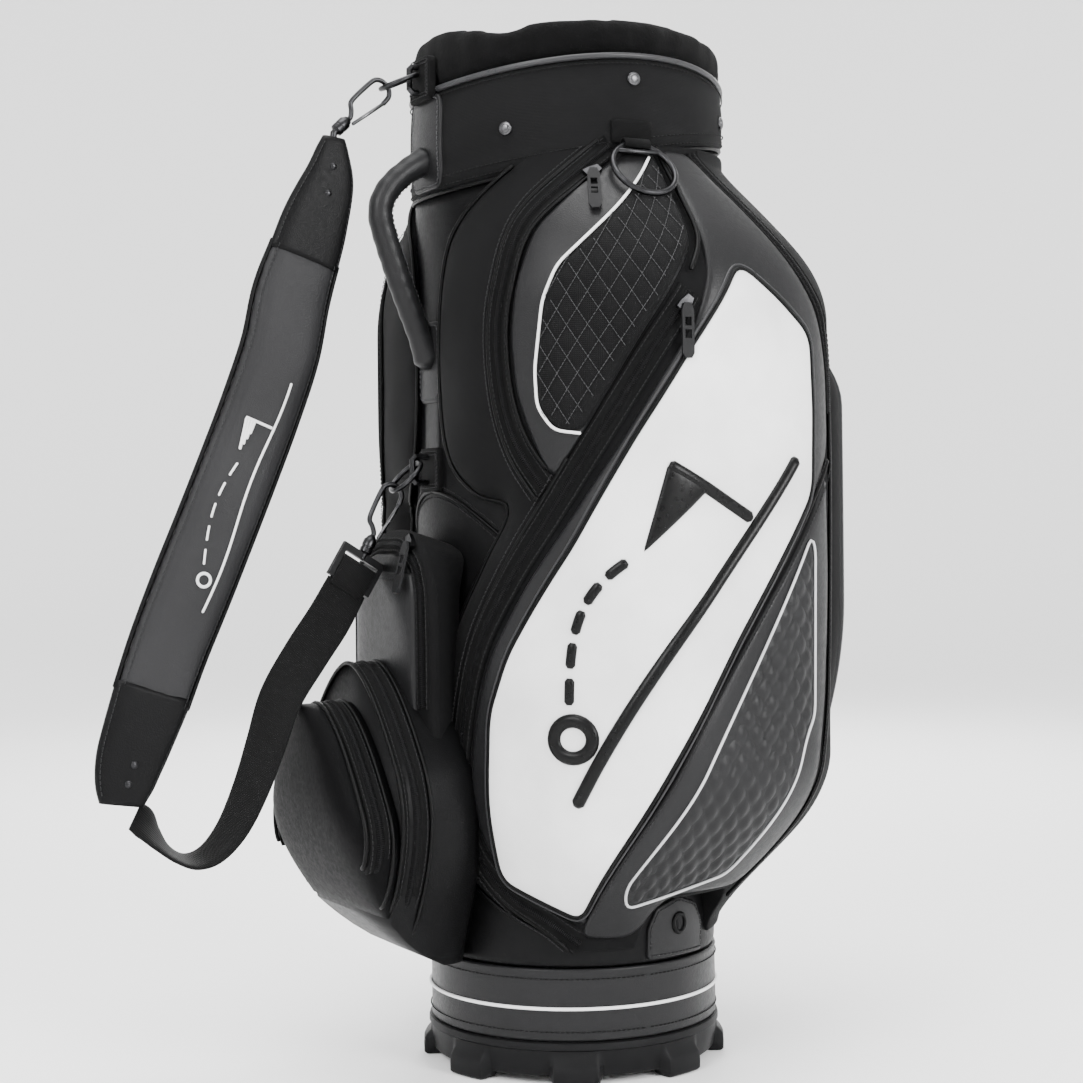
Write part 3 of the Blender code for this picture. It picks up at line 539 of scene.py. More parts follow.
def leather(name, colour, roughness, grain=0.0012, depth=0.00012, specular=0.22):
    """Fine pebbled synthetic leather, a little uneven in tone and gloss."""
    look = Look(name, roughness, specular=specular)
    broad, fine = look.noise(9, 4), look.noise(260, 3)
    look.tint(broad, colour, 0.85, 1.18)
    look.gloss(fine, roughness - 0.05, roughness + 0.07)
    look.bumps((look.cells(grain), depth), (broad, 0.0012))
    return look.made


def cloth(name, colour, roughness=0.8, thread=0.0009, depth=0.00016, sheen=0.015):
    """Plain woven fabric, its threads running round and up the bag."""
    look = Look(name, roughness, sheen=sheen, specular=0.08)
    round_, up = look.sheet_place()
    weave = look.math("MULTIPLY", look.ribs(round_, thread), look.ribs(up, thread))
    look.tint(look.noise(14, 5), colour, 0.8, 1.25)
    look.bumps((weave, depth), (look.noise(900, 2), depth * 0.7))
    return look.made


def webbing(name, colour):
    """Ribbed woven tape."""
    look = Look(name, 0.7, sheen=0.02, specular=0.10)
    split = look.node("SeparateXYZ", {0: look.place})
    slope = look.math("ADD", split.outputs["Y"], split.outputs["Z"])
    cross = look.math("SUBTRACT", split.outputs["Z"], split.outputs["Y"])
    weave = look.math("MULTIPLY", look.ribs(slope, 0.0022), look.ribs(cross, 0.0016))
    look.tint(look.noise(300, 2), colour, 0.7, 1.4)
    look.bumps((weave, 0.0004))
    return look.made


def fleece(name, colour):
    """Brushed pile: soft, deep and nearly without gloss."""
    look = Look(name, 0.95, sheen=0.03, specular=0.04)
    look.shader.inputs["Sheen Roughness"].default_value = 0.6
    look.tint(look.noise(60, 5), colour, 0.7, 1.5)
    look.bumps((look.noise(700, 4, 0.7), 0.0010), (look.noise(50, 3), 0.0022))
    return look.made


def plastic(name, colour, roughness=0.45, texture=0.0007):
    """Moulded plastic with a fine spark-eroded texture, lighter on its sharp edges as a painted highlight.
    """
    look = Look(name, roughness, specular=0.09)
    # painted highlight: the colour lightens on sharp convex edges, where a glint of the lamps would fall;
    # the noise spots are random tone
    edge_highlight = look.node("NewGeometry").outputs["Pointiness"]
    spots = look.math("MULTIPLY", look.noise(120, 4), 0.2)
    mixed = look.math("ADD", look.math("MULTIPLY", edge_highlight, 0.8), spots)
    look.tint(mixed, colour, 0.8, 1.5)
    look.gloss(look.noise(35, 3), roughness - 0.06, roughness + 0.08)
    look.bumps((look.cells(texture), 0.00006))
    return look.made


def metal(name, colour, roughness=0.32):
    """Plated metal with fine scratches and duller patches."""
    look = Look(name, roughness, metallic=1.0)
    look.tint(look.noise(200, 4), colour, 0.75, 1.2)
    look.gloss(look.noise(80, 5), roughness - 0.08, roughness + 0.12)
    look.bumps((look.noise(1500, 2), 0.00002))
    return look.made


def thread(name, colour):
    look = Look(name, 0.6, sheen=0.02, specular=0.15)
    look.tint(look.noise(500, 2), colour, 0.8, 1.15)
    look.bumps((look.noise(2500, 1), 0.00008))
    return look.made


SATIN = leather("satin_leather", (0.0085, 0.0085, 0.0090), 0.38, specular=0.17)
DARK_LEATHER = leather("dark_leather", (0.0032, 0.0032, 0.0034), 0.42, specular=0.08)
# painted shade: a darker, duller copy of the dark leather, for the ball pocket's front, which faces away
# from the lamps
SHADED_BALL_LEATHER = leather("ball_leather", (0.0026, 0.0026, 0.0028), 0.50, specular=0.03)
PAD_LEATHER = leather("strap_leather", (0.0180, 0.0180, 0.0188), 0.50, grain=0.0010, specular=0.12)
WHITE_LEATHER = leather("white_leather", (0.78, 0.78, 0.78), 0.42, grain=0.0009, depth=0.00006, specular=0.4)
FABRIC = cloth("black_fabric", (0.0026, 0.0026, 0.0028))
CUFF_FABRIC = cloth("cuff_fabric", (0.0038, 0.0038, 0.0040), 0.75, thread=0.0012)
QUILT_FABRIC = cloth("quilt_fabric", (0.0034, 0.0034, 0.0036), 0.7, thread=0.0016, depth=0.0003)
TAPE = cloth("zip_tape", (0.0018, 0.0018, 0.0019), 0.75, thread=0.0012, depth=0.0002)
FLEECE = fleece("collar_fleece", (0.0014, 0.0014, 0.0015))
WEBBING = webbing("strap_webbing", (0.0020, 0.0020, 0.0021))
BLACK_TRIM = leather("black_trim", (0.0014, 0.0014, 0.0015), 0.40, grain=0.0008, specular=0.10)
GREY_TRIM = leather("grey_trim", (0.026, 0.026, 0.0275), 0.32, grain=0.0008, depth=0.00004)
LIGHT_TRIM = leather("light_trim", (0.76, 0.76, 0.76), 0.35, grain=0.0008, depth=0.00004)
LINE_TRIM = leather("pale_piping", (0.50, 0.50, 0.51), 0.38, grain=0.0008, depth=0.00004)
EMBLEM = leather("emblem_black", (0.0014, 0.0014, 0.0015), 0.30, grain=0.0006, depth=0.00003, specular=0.15)
BLACK_PLASTIC = plastic("moulded_plastic", (0.0050, 0.0050, 0.0053))
PULL_RUBBER = plastic("pull_rubber", (0.0070, 0.0070, 0.0074), 0.42, 0.0005)
COIL = plastic("zip_coil", (0.0040, 0.0040, 0.0043), 0.35, 0.0004)
LINER = plastic("tube_liner", (0.008, 0.008, 0.0085), 0.6)
GUNMETAL = metal("gunmetal", (0.030, 0.030, 0.0315))
BRIGHT_METAL = metal("bright_metal", (0.085, 0.085, 0.088), 0.28)
DARK_THREAD = thread("dark_thread", (0.0022, 0.0022, 0.0022))
GREY_THREAD = thread("grey_thread", (0.050, 0.050, 0.052))
SOFT_GREY_THREAD = thread("soft_grey_thread", (0.0150, 0.0150, 0.0156))


# ---------------------------------------------------------------- small shapes


def ripple(flat, size, depth, seed=1.0):
    """Soft unevenness: a few waves in fixed directions."""
    total = 0
    for k in range(5):
        turn, length = seed + 2.4 * k, size * (1 + 0.37 * k)
        total = total + np.sin(flat @ [math.cos(turn), math.sin(turn)] * math.tau / length + 1.7 * k * seed)
    return depth * total / 3


def dome(origin, out, radius, height, steps=20):
    """A domed stud on a surface, its foot a little sunk."""
    out = np.asarray(out, float) / np.linalg.norm(out)
    one = np.cross(out, (0.1, 0.2, 0.97))
    one /= np.linalg.norm(one)
    two = np.cross(out, one)
    turns = np.linspace(0, math.tau, steps, endpoint=False)
    circle = np.outer(np.cos(turns), one) + np.outer(np.sin(turns), two)
    profile = [(1.0, -0.3), (1.0, 0.35), (0.92, 0.55), (0.72, 0.60), (0.66, 0.85), (0.4, 1.0), (0.1, 1.04)]
    return skin([origin + circle * r * radius + out * h * height for r, h in profile], caps=True)


def zip_tape(made, places, normals, width):
    """Two halves of tape with raised folded edges."""
    widths, lifts = [-1, -0.97, -0.90, -0.72, -0.66, -0.30, -0.26], [-2.6, 0.3, 0.9, 0.9, 0.1, 0.0, 0.7]
    widths = np.array([*widths, *[-w for w in reversed(widths)]]) * width / 2
    made.add(*ribbon(places, normals, widths, np.array([*lifts, *reversed(lifts)]) * 0.001))


def zip_coil(made, places, normals):
    """The interlocked coils, as short slanted loops on both sides of the middle."""
    along = frames(places)[0]
    across = np.cross(normals, along)
    far = np.concatenate([[0], np.cumsum(np.linalg.norm(np.diff(places, axis=0), axis=1))])
    pitch = 0.0017
    for i, start in enumerate(np.arange(pitch, far[-1] - pitch, pitch / 2)):
        side = 1 if i % 2 else -1
        spot, out, run, left = (
            np.array([np.interp(start, far, values[:, k]) for k in range(3)])
            for values in (places, normals, along, across)
        )
        bends = ((0.0026, 0.0006, 0), (0.0012, 0.0016, 0.0003), (-0.0007, 0.0014, 0.0005))
        made.add(*tube([spot + left * side * l + out * o + run * r for l, o, r in bends], 0.00042, sides=4))


def zip_along(name, flat, surface, lift, width):
    zip_in_space(name, *on_surface(surface, resample(flat, STEP), lift), width)


def zip_in_space(name, places, normals, width):
    """A closed zip: tape, coil and its two rows of stitches."""
    tape, coil, rows = Shape(), Shape(), Shape()
    zip_tape(tape, places, normals, width)
    zip_coil(coil, places, normals)
    across = np.cross(normals, frames(places)[0])
    for side in (-1, 1):
        stitches(rows, places + across * side * width * 0.40 + normals * 0.0009, normals, radius=0.00030)
    parts = ("tape", tape, TAPE), ("coil", coil, COIL), ("stitches", rows, SOFT_GREY_THREAD)
    for label, made, look in parts:
        piece(f"{name}_{label}", made, look, slot="pocket_leather")


# ---------------------------------------------------------------- side pockets

# Where the pockets' walls meet the cover, and where their front edges run
FOOT_LINE = [
    (-40, 0.776), (-52, 0.757), (-69, 0.724), (-77, 0.692), (-80.7, 0.634), (-80, 0.565), (-75, 0.520),
    (-63, 0.493), (-50, 0.480), (-60, 0.432), (-77.5, 0.360), (-85.5, 0.299), (-86.5, 0.239),
    (-79, 0.191), (-61, 0.153), (-39, 0.126), (-29, 0.112),
]
UPPER_ZIP = [
    (-10, 0.790), (-29, 0.748), (-42, 0.710), (-47, 0.662), (-49, 0.620), (-47.5, 0.571), (-43, 0.530),
    (-35.5, 0.494),
]
APPAREL_ZIP = [
    (-3, 0.652), (-11, 0.608), (-23, 0.537), (-34, 0.476), (-45, 0.424), (-57, 0.364), (-63, 0.306),
    (-65, 0.251), (-62, 0.201), (-52, 0.165), (-38, 0.140), (-25, 0.114),
]
SIDE_ZIP = [(20, 0.782), (24, 0.748), (27.5, 0.705), (31.5, 0.668), (36.5, 0.636), (40, 0.596), (41, 0.560)]
REAR_EDGE = 57.5
POCKET_RISE = 0.0035  # the shell's height over the cover where the pockets end


class Bulge:
    """The share of their depth that the side pockets have: 0 at the foot line, 1 inside the front edge."""

    def __init__(self):
        self.low, self.step = np.array([-100.0, 0.090]), np.array([0.75, 0.003])
        angles, heights = np.arange(-100, 64, 0.75), np.arange(0.090, 0.810, 0.003)
        a, h = np.meshgrid(angles, heights, indexing="ij")
        flat = np.stack([a * ARC, h], -1).reshape(-1, 2)
        foot = through(sheet(FOOT_LINE), 6)
        rim = np.vstack([through(sheet(UPPER_ZIP), 6), through(sheet(APPAREL_ZIP), 6)[20:]])
        back = sheet([(80, 0.08), (80, 0.84), (-8, 0.84)])
        inside_rim = within(flat, np.vstack([rim, back]))
        inside_foot = within(flat, np.vstack([foot, back, sheet([(-40, 0.84)])]))
        to_rim, to_foot = gap_to(flat, rim, closed=False), gap_to(flat, foot, closed=False)
        share = np.sqrt(1 - (1 - to_foot / (to_foot + to_rim + 1e-9)) ** 2)
        share = np.where(inside_rim, 1.0, np.where(inside_foot, share, 0.0)).reshape(a.shape)
        for _ in range(2):
            share[1:-1, 1:-1] = (share[1:-1, 1:-1] * 2 + share[:-2, 1:-1] + share[2:, 1:-1]
                                 + share[1:-1, :-2] + share[1:-1, 2:]) / 6
        self.share = share

    def __call__(self, angle, height):
        place = (np.stack(np.broadcast_arrays(angle, height), -1) - self.low) / self.step
        place = np.clip(place, 0, np.array(self.share.shape) - 1.001)
        cell = place.astype(int)
        u, v = (place - cell)[..., 0], (place - cell)[..., 1]
        i, j = cell[..., 0], cell[..., 1]
        near = self.share[i, j] * (1 - u) + self.share[i + 1, j] * u
        far = self.share[i, j + 1] * (1 - u) + self.share[i + 1, j + 1] * u
        return near * (1 - v) + far * v


BULGE = Bulge()


def side_surface(angle, height):
    base = core(height) + POCKET_RISE
    return base + np.maximum(0.0, envelope(angle, height) - base) * BULGE(angle, height)


DIAGONAL = math.radians(58)  # the slope of the zip, the white panel and the quilting on the sheet
QUILT_TURNS = DIAGONAL, math.pi - DIAGONAL


def line_family(flat, turn, pitch):
    """Distance to the nearest of evenly spaced parallel lines."""
    across = flat @ [-math.sin(turn), math.cos(turn)]
    return np.abs((across / pitch + 0.5) % 1 - 0.5) * pitch


def stitched_quilt(flat):
    """Diamonds pulled down along two families of stitch lines."""
    lines = [np.exp(-((line_family(flat, turn, QUILT_PITCH) / 0.0022) ** 2)) for turn in QUILT_TURNS]
    return 0.0013 - 0.0015 * np.maximum(*lines)


def embossed_quilt(flat):
    """Pillowed diamonds pressed into leather."""
    waves = [line_family(flat, turn, EMBOSS_PITCH) / (EMBOSS_PITCH / 2) for turn in QUILT_TURNS]
    return 0.0032 * (np.clip(waves[0] * waves[1], 0, 1) ** 0.38) - 0.0010


def quilt_lines(outline, turn, pitch):
    """The stitch lines of a family that lie inside an outline."""
    along, across = np.array([math.cos(turn), math.sin(turn)]), np.array([-math.sin(turn), math.cos(turn)])
    offsets = outline @ across
    runs = outline @ along
    lines = []
    for k in range(math.ceil(offsets.min() / pitch), math.floor(offsets.max() / pitch) + 1):
        spots = along * np.arange(runs.min(), runs.max(), 0.003)[:, None] + across * k * pitch
        spots = spots[within(spots, outline)]
        if len(spots) > 4:
            lines.append(spots[1:-1])
    return lines


WHITE_PANEL = [
    (10, 0.676), (-3.5, 0.606), (-15.5, 0.535), (-29, 0.448), (-46, 0.360), (-52, 0.312), (-53, 0.235),
    (-52, 0.176), (-27, 0.143), (-11, 0.255), (8, 0.372), (29.5, 0.492), (30, 0.560), (29, 0.622),
]
APPAREL_LEATHER = [
    (3.5, 0.779), (17, 0.779), (22, 0.742), (25.5, 0.700), (29.5, 0.662), (34.5, 0.632), (37.5, 0.596),
    (38.5, 0.530), (34, 0.503), (15, 0.410), (-2, 0.320), (-15, 0.234), (-26, 0.150), (-24.5, 0.132),
    (-36, 0.151), (-50, 0.176), (-58, 0.207), (-60.5, 0.252), (-58.5, 0.303), (-53, 0.357), (-42, 0.413),
    (-31, 0.464), (-19.5, 0.525), (-8, 0.592), (-1.5, 0.630), (2.5, 0.672),
]
UPPER_LEATHER = [
    (-8, 0.777), (-26, 0.744), (-38.5, 0.706), (-43.5, 0.660), (-45, 0.620), (-43.5, 0.573), (-39, 0.534),
    (-34, 0.500), (-26, 0.542), (-13.5, 0.619), (-5, 0.666), (0, 0.694), (0.5, 0.779),
]
QUILT_EDGE = [
    (-3, 0.766), (-18, 0.716), (-32, 0.672), (-35.5, 0.645), (-37.5, 0.590), (-37, 0.560), (-33, 0.541),
    (-27, 0.538),
]
UPPER_QUILT = [*QUILT_EDGE, (-13.5, 0.621), (-5.5, 0.667), (-0.8, 0.694), (-0.5, 0.772)]
LOWER_LEATHER = [
    (37.5, 0.512), (30.5, 0.472), (15.5, 0.397), (-0.5, 0.310), (-13.5, 0.224), (-24.5, 0.149),
    (-27.5, 0.124), (-12, 0.122), (-6, 0.128), (-3, 0.150), (2, 0.160), (27, 0.161), (30, 0.185),
    (32, 0.250), (36, 0.320), (38.5, 0.420),
]
LOWER_QUILT = [
    (29, 0.455), (-15, 0.172), (-13.5, 0.153), (16.5, 0.178), (27, 0.290), (29.8, 0.306), (30.5, 0.445),
]


def side_shell():
    outline = [
        *FOOT_LINE, (-6, 0.112), (-3.5, 0.140), (1, 0.155), (26, 0.156), (31, 0.142), (34, 0.114),
        (REAR_EDGE, 0.116), (REAR_EDGE, 0.790), (20, 0.786), (-20, 0.780),
    ]
    shell = patch("side_shell_right", outline, side_surface, FABRIC, 0.0, 0.002, 0.0, 0.0065, 0.004,
                  lambda flat: ripple(flat, 0.05, 0.0005), 0.030)
    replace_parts(shell, "upper_pocket_right", "apparel_pocket_right", "quilt_pocket_right")


def side_panels():
    soft = lambda flat: ripple(flat, 0.09, 0.0006, 2.0)
    taut = lambda flat: ripple(flat, 0.12, 0.0004, 0.7)
    for name, outline, look, lift, roll, crown, spacing, corner, relief in (
        ("upper_leather", UPPER_LEATHER, SATIN, 0.0030, 0.004, 0.0015, 0.006, 0.012, soft),
        ("upper_quilt", UPPER_QUILT, QUILT_FABRIC, 0.0046, 0.003, 0.002, 0.0027, 0.010, stitched_quilt),
        ("apparel_leather", APPAREL_LEATHER, SATIN, 0.0034, 0.005, 0.0015, 0.006, 0.016, soft),
        ("white_panel", WHITE_PANEL, WHITE_LEATHER, 0.0052, 0.0022, 0.0015, 0.006, 0.014, taut),
        ("lower_leather", LOWER_LEATHER, SATIN, 0.0034, 0.005, 0.0012, 0.006, 0.012, soft),
        ("lower_quilt", LOWER_QUILT, SATIN, 0.0040, 0.002, 0.0010, 0.0023, 0.008, embossed_quilt),
    ):
        patch(f"{name}_right", outline, side_surface, look, lift, roll, crown, spacing, corner, relief)


def side_trims():
    white = rounded(sheet(WHITE_PANEL), 0.014)
    inner_white = resample(shifted_ring(white, -0.0036), STEP, True)
    upper_rim, front_rim = through(sheet(UPPER_ZIP), 10), through(sheet(APPAREL_ZIP), 10)
    shoulder = [(1.8, 0.779), (2.0, 0.730), (1.5, 0.696), (-2.5, 0.668)]
    groove = [(38.5, 0.519), (30, 0.481), (15, 0.4035), (-1.2, 0.315), (-14.3, 0.229), (-25.5, 0.148)]
    back = [(41, 0.560), (41.5, 0.500), (40.5, 0.420), (38, 0.320), (33.5, 0.245), (30, 0.150)]
    groove, back = through(sheet(groove), 8), through(sheet(back), 8)
    for name, line, look, lift, radius, closed in (
        ("white_panel_welt", white, BLACK_TRIM, 0.0048, 0.0017, True),
        ("white_panel_edge", inner_white, GREY_TRIM, 0.0042, 0.0010, True),
        ("upper_quilt_piping", rounded(sheet(QUILT_EDGE), 0.008, False), LIGHT_TRIM, 0.0054, 0.0013, False),
        ("lower_quilt_piping", rounded(sheet(LOWER_QUILT), 0.010), LINE_TRIM, 0.0048, 0.0012, True),
        ("upper_rim_piping", shifted(upper_rim, -0.0115)[4:], BLACK_TRIM, 0.0016, 0.0018, False),
        ("upper_inner_piping", shifted(upper_rim, 0.0112)[6:-3], BLACK_TRIM, 0.0030, 0.0014, False),
        ("front_rim_piping", shifted(front_rim, -0.0120)[24:-4], BLACK_TRIM, 0.0016, 0.0018, False),
        ("foot_piping", through(sheet(FOOT_LINE), 8)[6:-4], BLACK_TRIM, 0.0012, 0.0018, False),
        ("shoulder_piping", through(sheet(shoulder), 10), BLACK_TRIM, 0.0046, 0.0022, False),
        ("groove_piping", groove, BLACK_TRIM, 0.0022, 0.0020, False),
        ("side_seam_piping", back, BLACK_TRIM, 0.0020, 0.0018, False),
    ):
        seam_line(f"{name}_right", line, side_surface, look, lift, radius, closed)
    rows = [
        shifted(upper_rim, -0.0150)[6:], shifted(front_rim, -0.0155)[26:-4],
        shifted(groove, -0.0055), shifted(groove, 0.0075), shifted(back, -0.0050),
    ]
    sewn("side_stitches_right", rows, side_surface, SOFT_GREY_THREAD, 0.0038)
    outline = rounded(sheet(UPPER_QUILT), 0.010)
    rows = [row for turn in QUILT_TURNS for row in quilt_lines(outline, turn, QUILT_PITCH)]
    sewn("quilt_stitches_right", rows, side_surface, GREY_THREAD, 0.0064, 0.0036, 0.0026, 0.00028)


def side_zips():
    zip_along("upper_zip_right", through(sheet(UPPER_ZIP), 12)[3:], side_surface, 0.0014, 0.020)
    zip_along("apparel_zip_right", through(sheet(APPAREL_ZIP), 12)[:-2], side_surface, 0.0014, 0.022)
    zip_along("side_zip_right", through(sheet(SIDE_ZIP), 12), side_surface, 0.0014, 0.016)


def circle(x, y, radius, count):
    turns = np.linspace(0, math.tau, count, endpoint=False)
    return [(x + radius * math.cos(t), y + radius * math.sin(t)) for t in turns]


def emblem():
    """A plain golf motif in raised strokes: a ground line, a pin with its pennant, a ball and its flight."""
    middle, along = sheet([(-12, 0.402)])[0], np.array([math.cos(DIAGONAL), math.sin(DIAGONAL)])
    across = np.array([-along[1], along[0]])
    made = Shape()

    def place(points):
        return middle + np.outer([u for u, _ in points], along) + np.outer([v for _, v in points], across)

    def stroke(points, radius, closed=False):
        places, normals = on_surface(side_surface, resample(place(points), 0.0035, closed), 0.0068)
        made.add(*tube(places, radius, sides=14, closed=closed, flat=0.62, first=normals[0]))

    stroke([(u, -0.036 + 0.007 * math.sin((u + 0.17) * 13)) for u in np.linspace(-0.162, 0.162, 50)], 0.0054)
    stroke([(0.100, -0.030), (0.100, 0.046)], 0.0050)
    stroke(circle(-0.122, -0.006, 0.0150, 40), 0.0056, True)
    for start in np.arange(0.0, 0.95, 0.2):
        shares = np.linspace(start, start + 0.11, 6)
        stroke([(-0.098 + 0.126 * s, 0.012 + 0.030 * math.sin(s * 2.5)) for s in shares], 0.0042)
    pennant = place([(0.101, 0.050), (0.101, 0.012), (0.030, 0.028)]) / [ARC, 1]
    patch("panel_pennant_right", pennant, side_surface, EMBLEM, 0.0090, 0.0030, 0.0010, 0.004, 0.004)
    piece("panel_emblem_right", made, EMBLEM, slot="pocket_leather")


def mirror_sides():
    """The left side's pieces are the right side's, mirrored."""
    for obj in list(bpy.data.objects):
        if obj.type != "MESH" or not obj.name.endswith("_right") or "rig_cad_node" in obj:
            continue
        mesh = obj.data.copy()
        co = np.empty(len(mesh.vertices) * 3, np.float32)
        mesh.vertices.foreach_get("co", co)
        co[0::3] *= -1
        mesh.vertices.foreach_set("co", co)
        mesh.flip_normals()
        twin = bpy.data.objects.new(obj.name.replace("_right", "_left"), mesh)
        bpy.context.scene.collection.objects.link(twin)
        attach(twin, "bag")
        if "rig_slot" in obj:
            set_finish(twin, obj["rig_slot"])
        if "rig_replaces" in obj:
            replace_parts(twin, *[node.replace("_right", "_left") for node in obj["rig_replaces"]])


# ---------------------------------------------------------------- rear, front and accessory pockets


def rear_pocket():
    outline = [(58.2, 0.122), (121.8, 0.122), (121.8, 0.766), (90, 0.786), (58.2, 0.766)]
    patch("rear_panel", outline, rear_surface, FABRIC, lift=0.0006, roll=0.004, spacing=0.009,
          relief=lambda flat: ripple(flat, 0.08, 0.0008, 3.0), stands_for="rear_pocket")
    inner = [(70, 0.170), (110, 0.170), (112, 0.420), (110, 0.640), (70, 0.640), (68, 0.420)]
    patch("rear_leather", inner, rear_surface, SATIN, 0.0030, 0.005, 0.002, 0.008, 0.03)
    for label, angle in (("r", 60.5), ("l", 119.5)):
        seam = sheet([(angle, z) for z in np.linspace(0.135, 0.765, 40)])
        seam_line(f"rear_seam_{label}", seam, rear_surface, BLACK_TRIM, 0.0022, 0.0020)
        sewn(f"rear_stitches_{label}", [seam], rear_surface, SOFT_GREY_THREAD, 0.0016)
    path = through(sheet([(66, 0.742), (66, 0.704), (66, 0.676), (67, 0.645)]), 12)
    zip_along("rear_zip", path, rear_surface, 0.0010, 0.016)


ACCESSORY_EDGE = [
    (-114.5, 0.272), (-114.5, 0.330), (-114.4, 0.385), (-113.6, 0.420), (-109, 0.448), (-99, 0.464),
    (-90, 0.466), (-81, 0.464), (-71, 0.448), (-66.4, 0.420), (-65.6, 0.385), (-65.5, 0.330), (-65.5, 0.272),
]


def accessory_pocket():
    edge = rounded(sheet(ACCESSORY_EDGE), 0.012, closed=False) / [ARC, 1]
    patch("accessory_shell", edge, accessory_surface, FABRIC, lift=0.0, roll=0.009, spacing=0.005,
          corner=0.004, skirt=0.040, stands_for="accessory_pocket")
    edge = through(sheet(ACCESSORY_EDGE), 8)
    zip_along("accessory_zip", shifted(edge, -0.0150)[6:-6], accessory_surface, 0.0006, 0.013)
    face = shifted(edge, -0.0235)[4:-4] / [ARC, 1]
    patch("accessory_face", face, accessory_surface, SATIN, 0.0026, 0.004, 0.0022, 0.005, 0.004)
    band = face[face[:, 1] > 0.425]
    patch("accessory_top_panel", band, accessory_surface, DARK_LEATHER, 0.0040, 0.002, 0.0022, 0.005, 0.003)
    row = sheet([(a, 0.4222) for a in np.linspace(-104, -76, 20)])
    sewn("accessory_stitches", [row], accessory_surface, SOFT_GREY_THREAD, 0.0066)


def ball_width(height, top):
    """Share of the full width: a pointed arch above, a taper below."""
    drop = np.asarray(top - height, float)
    blur = 0.024 * np.clip(drop / 0.100, 0, 1)
    arch = np.mean([ramp(drop + shift * blur, 0, 0.100) ** 0.60 for shift in np.linspace(-1, 1, 9)], axis=0)
    return np.maximum(0.04, arch) * (0.42 + 0.58 * swell(height, 0.098, 0.235))


def ball_reach(height):
    """How far out the front face is."""
    return BALL_FOOT + (BALL_DEPTH - BALL_FOOT) * (1 - ramp(-height, -0.26, -0.095) ** 2) ** 0.7


def rim_heights(low, top, count=60):
    """Heights that crowd towards the top of an arch."""
    return low + (top - low) * np.sin(np.linspace(0, 1, count) * np.pi / 2) ** 0.85


def ball_section(height):
    """From the cover out to the first zip, with walls that swell a little."""
    width = float(ball_width(height, BALL_TOP))
    reach = min(BALL_BACK, float(ball_reach(height)) - 0.0015)
    base = float(core(height)) + 0.0015
    foot = 24 * min(1.0, width + 0.1)
    back = [polar(base, -90 + foot * share, height) for share in np.linspace(-1, 1, 9)]
    root = back[-1]
    near, far = -root[1] + 0.001, max(reach, 0.004 - root[1])
    wide = max(root[0] + 0.001, BALL_HALF * width)
    plan = through([(0, 0.04), (0.45, 0.12), (0.80, 0.36), (0.96, 0.66), (1.0, 0.90), (0.995, 1.0)], 4)
    side = [np.array([root[0] + (wide - root[0]) * x, -near - (far - near) * y, height]) for x, y in plan]
    return np.array([*back, *side, *[p * MIRROR for p in reversed(side)]])


def front_section(height):
    width = float(ball_width(height, FRONT_TOP))
    back = BALL_BACK + 0.001
    depth = max(0.003, float(ball_reach(height)) - back)
    plan = [(1.0, 0.0), (0.997, 0.30), (0.97, 0.55), (0.88, 0.80), (0.66, 0.95), (0.30, 1.0), (0.0, 1.01)]
    side = [np.array([FRONT_HALF * width * x, -back - depth * y, height]) for x, y in through(plan, 4)]
    return np.array([*side, *[p * MIRROR for p in reversed(side[:-1])]])


def arch_path(top, half, y, margin=0.012):
    """The rim line of a ball pocket part, up one side and down the other, with its outward normals.

    It starts where the pocket's face is a margin past y, and sinks in at both ends.
    """
    levels = np.arange(0.100, 0.260, 0.001)
    low = float(np.interp(margin - y, ball_reach(levels), levels))
    right = np.array([(half * float(ball_width(z, top)), z) for z in rim_heights(low, top - 0.0004)])
    flat = resample(np.vstack([right, right[::-1] * [-1, 1]]), STEP)
    out = -sideways(flat)
    places = np.stack([flat[:, 0], 0 * flat[:, 0] + y, flat[:, 1]], -1)
    normals = np.stack([out[:, 0], 0 * out[:, 0], out[:, 1]], -1)
    run = np.arange(len(places)) * STEP
    sunk = 1 - np.minimum(1, np.minimum(run, run[::-1]) / 0.028) ** 0.5
    return places - normals * (0.0065 * sunk)[:, None], normals


def ball_pockets():
    sections = [ball_section(z) for z in rim_heights(0.099, BALL_TOP - 0.0006)]
    lofted("ball_body", sections, DARK_LEATHER, slot="pocket_leather", stands_for="ball_pocket")
    # The front part takes the darker copy of the leather, which paints shade on it.
    sections = [front_section(z) for z in rim_heights(0.150, FRONT_TOP - 0.0005)]
    lofted("ball_front", sections, SHADED_BALL_LEATHER, slot="pocket_leather", stands_for="ball_pocket_front")
    zip_in_space("ball_zip", *arch_path(BALL_TOP, BALL_HALF, -0.2035), 0.022)
    zip_in_space("ball_front_zip", *arch_path(FRONT_TOP, FRONT_HALF, -0.2325), 0.018)
    for number, (top, half, y, lift) in enumerate((
        (BALL_TOP, BALL_HALF, -0.1905, 0.0008), (BALL_TOP, BALL_HALF, -0.2155, 0.0004),
        (FRONT_TOP, FRONT_HALF, -0.2220, 0.0010), (FRONT_TOP, FRONT_HALF * 0.985, -0.2440, 0.0002),
    )):
        places, normals = arch_path(top, half, y, 0.003)
        tubed(f"ball_piping_{number}", places + normals * lift, 0.0018, BLACK_TRIM,
              slot="pocket_leather", sides=8)


# ---------------------------------------------------------------- tube, cover, cuff and base


def swept(profile_at, steps=180):
    """A ring about Z whose (radius, height) profile changes with the angle."""
    sections = []
    for angle in np.linspace(0, 360, steps, endpoint=False):
        profile = np.array(profile_at(angle), float)
        sections.append(polar(profile[:, 0], angle, profile[:, 1]))
    return Shape().add(*solid(*skin(sections, closed=True)))


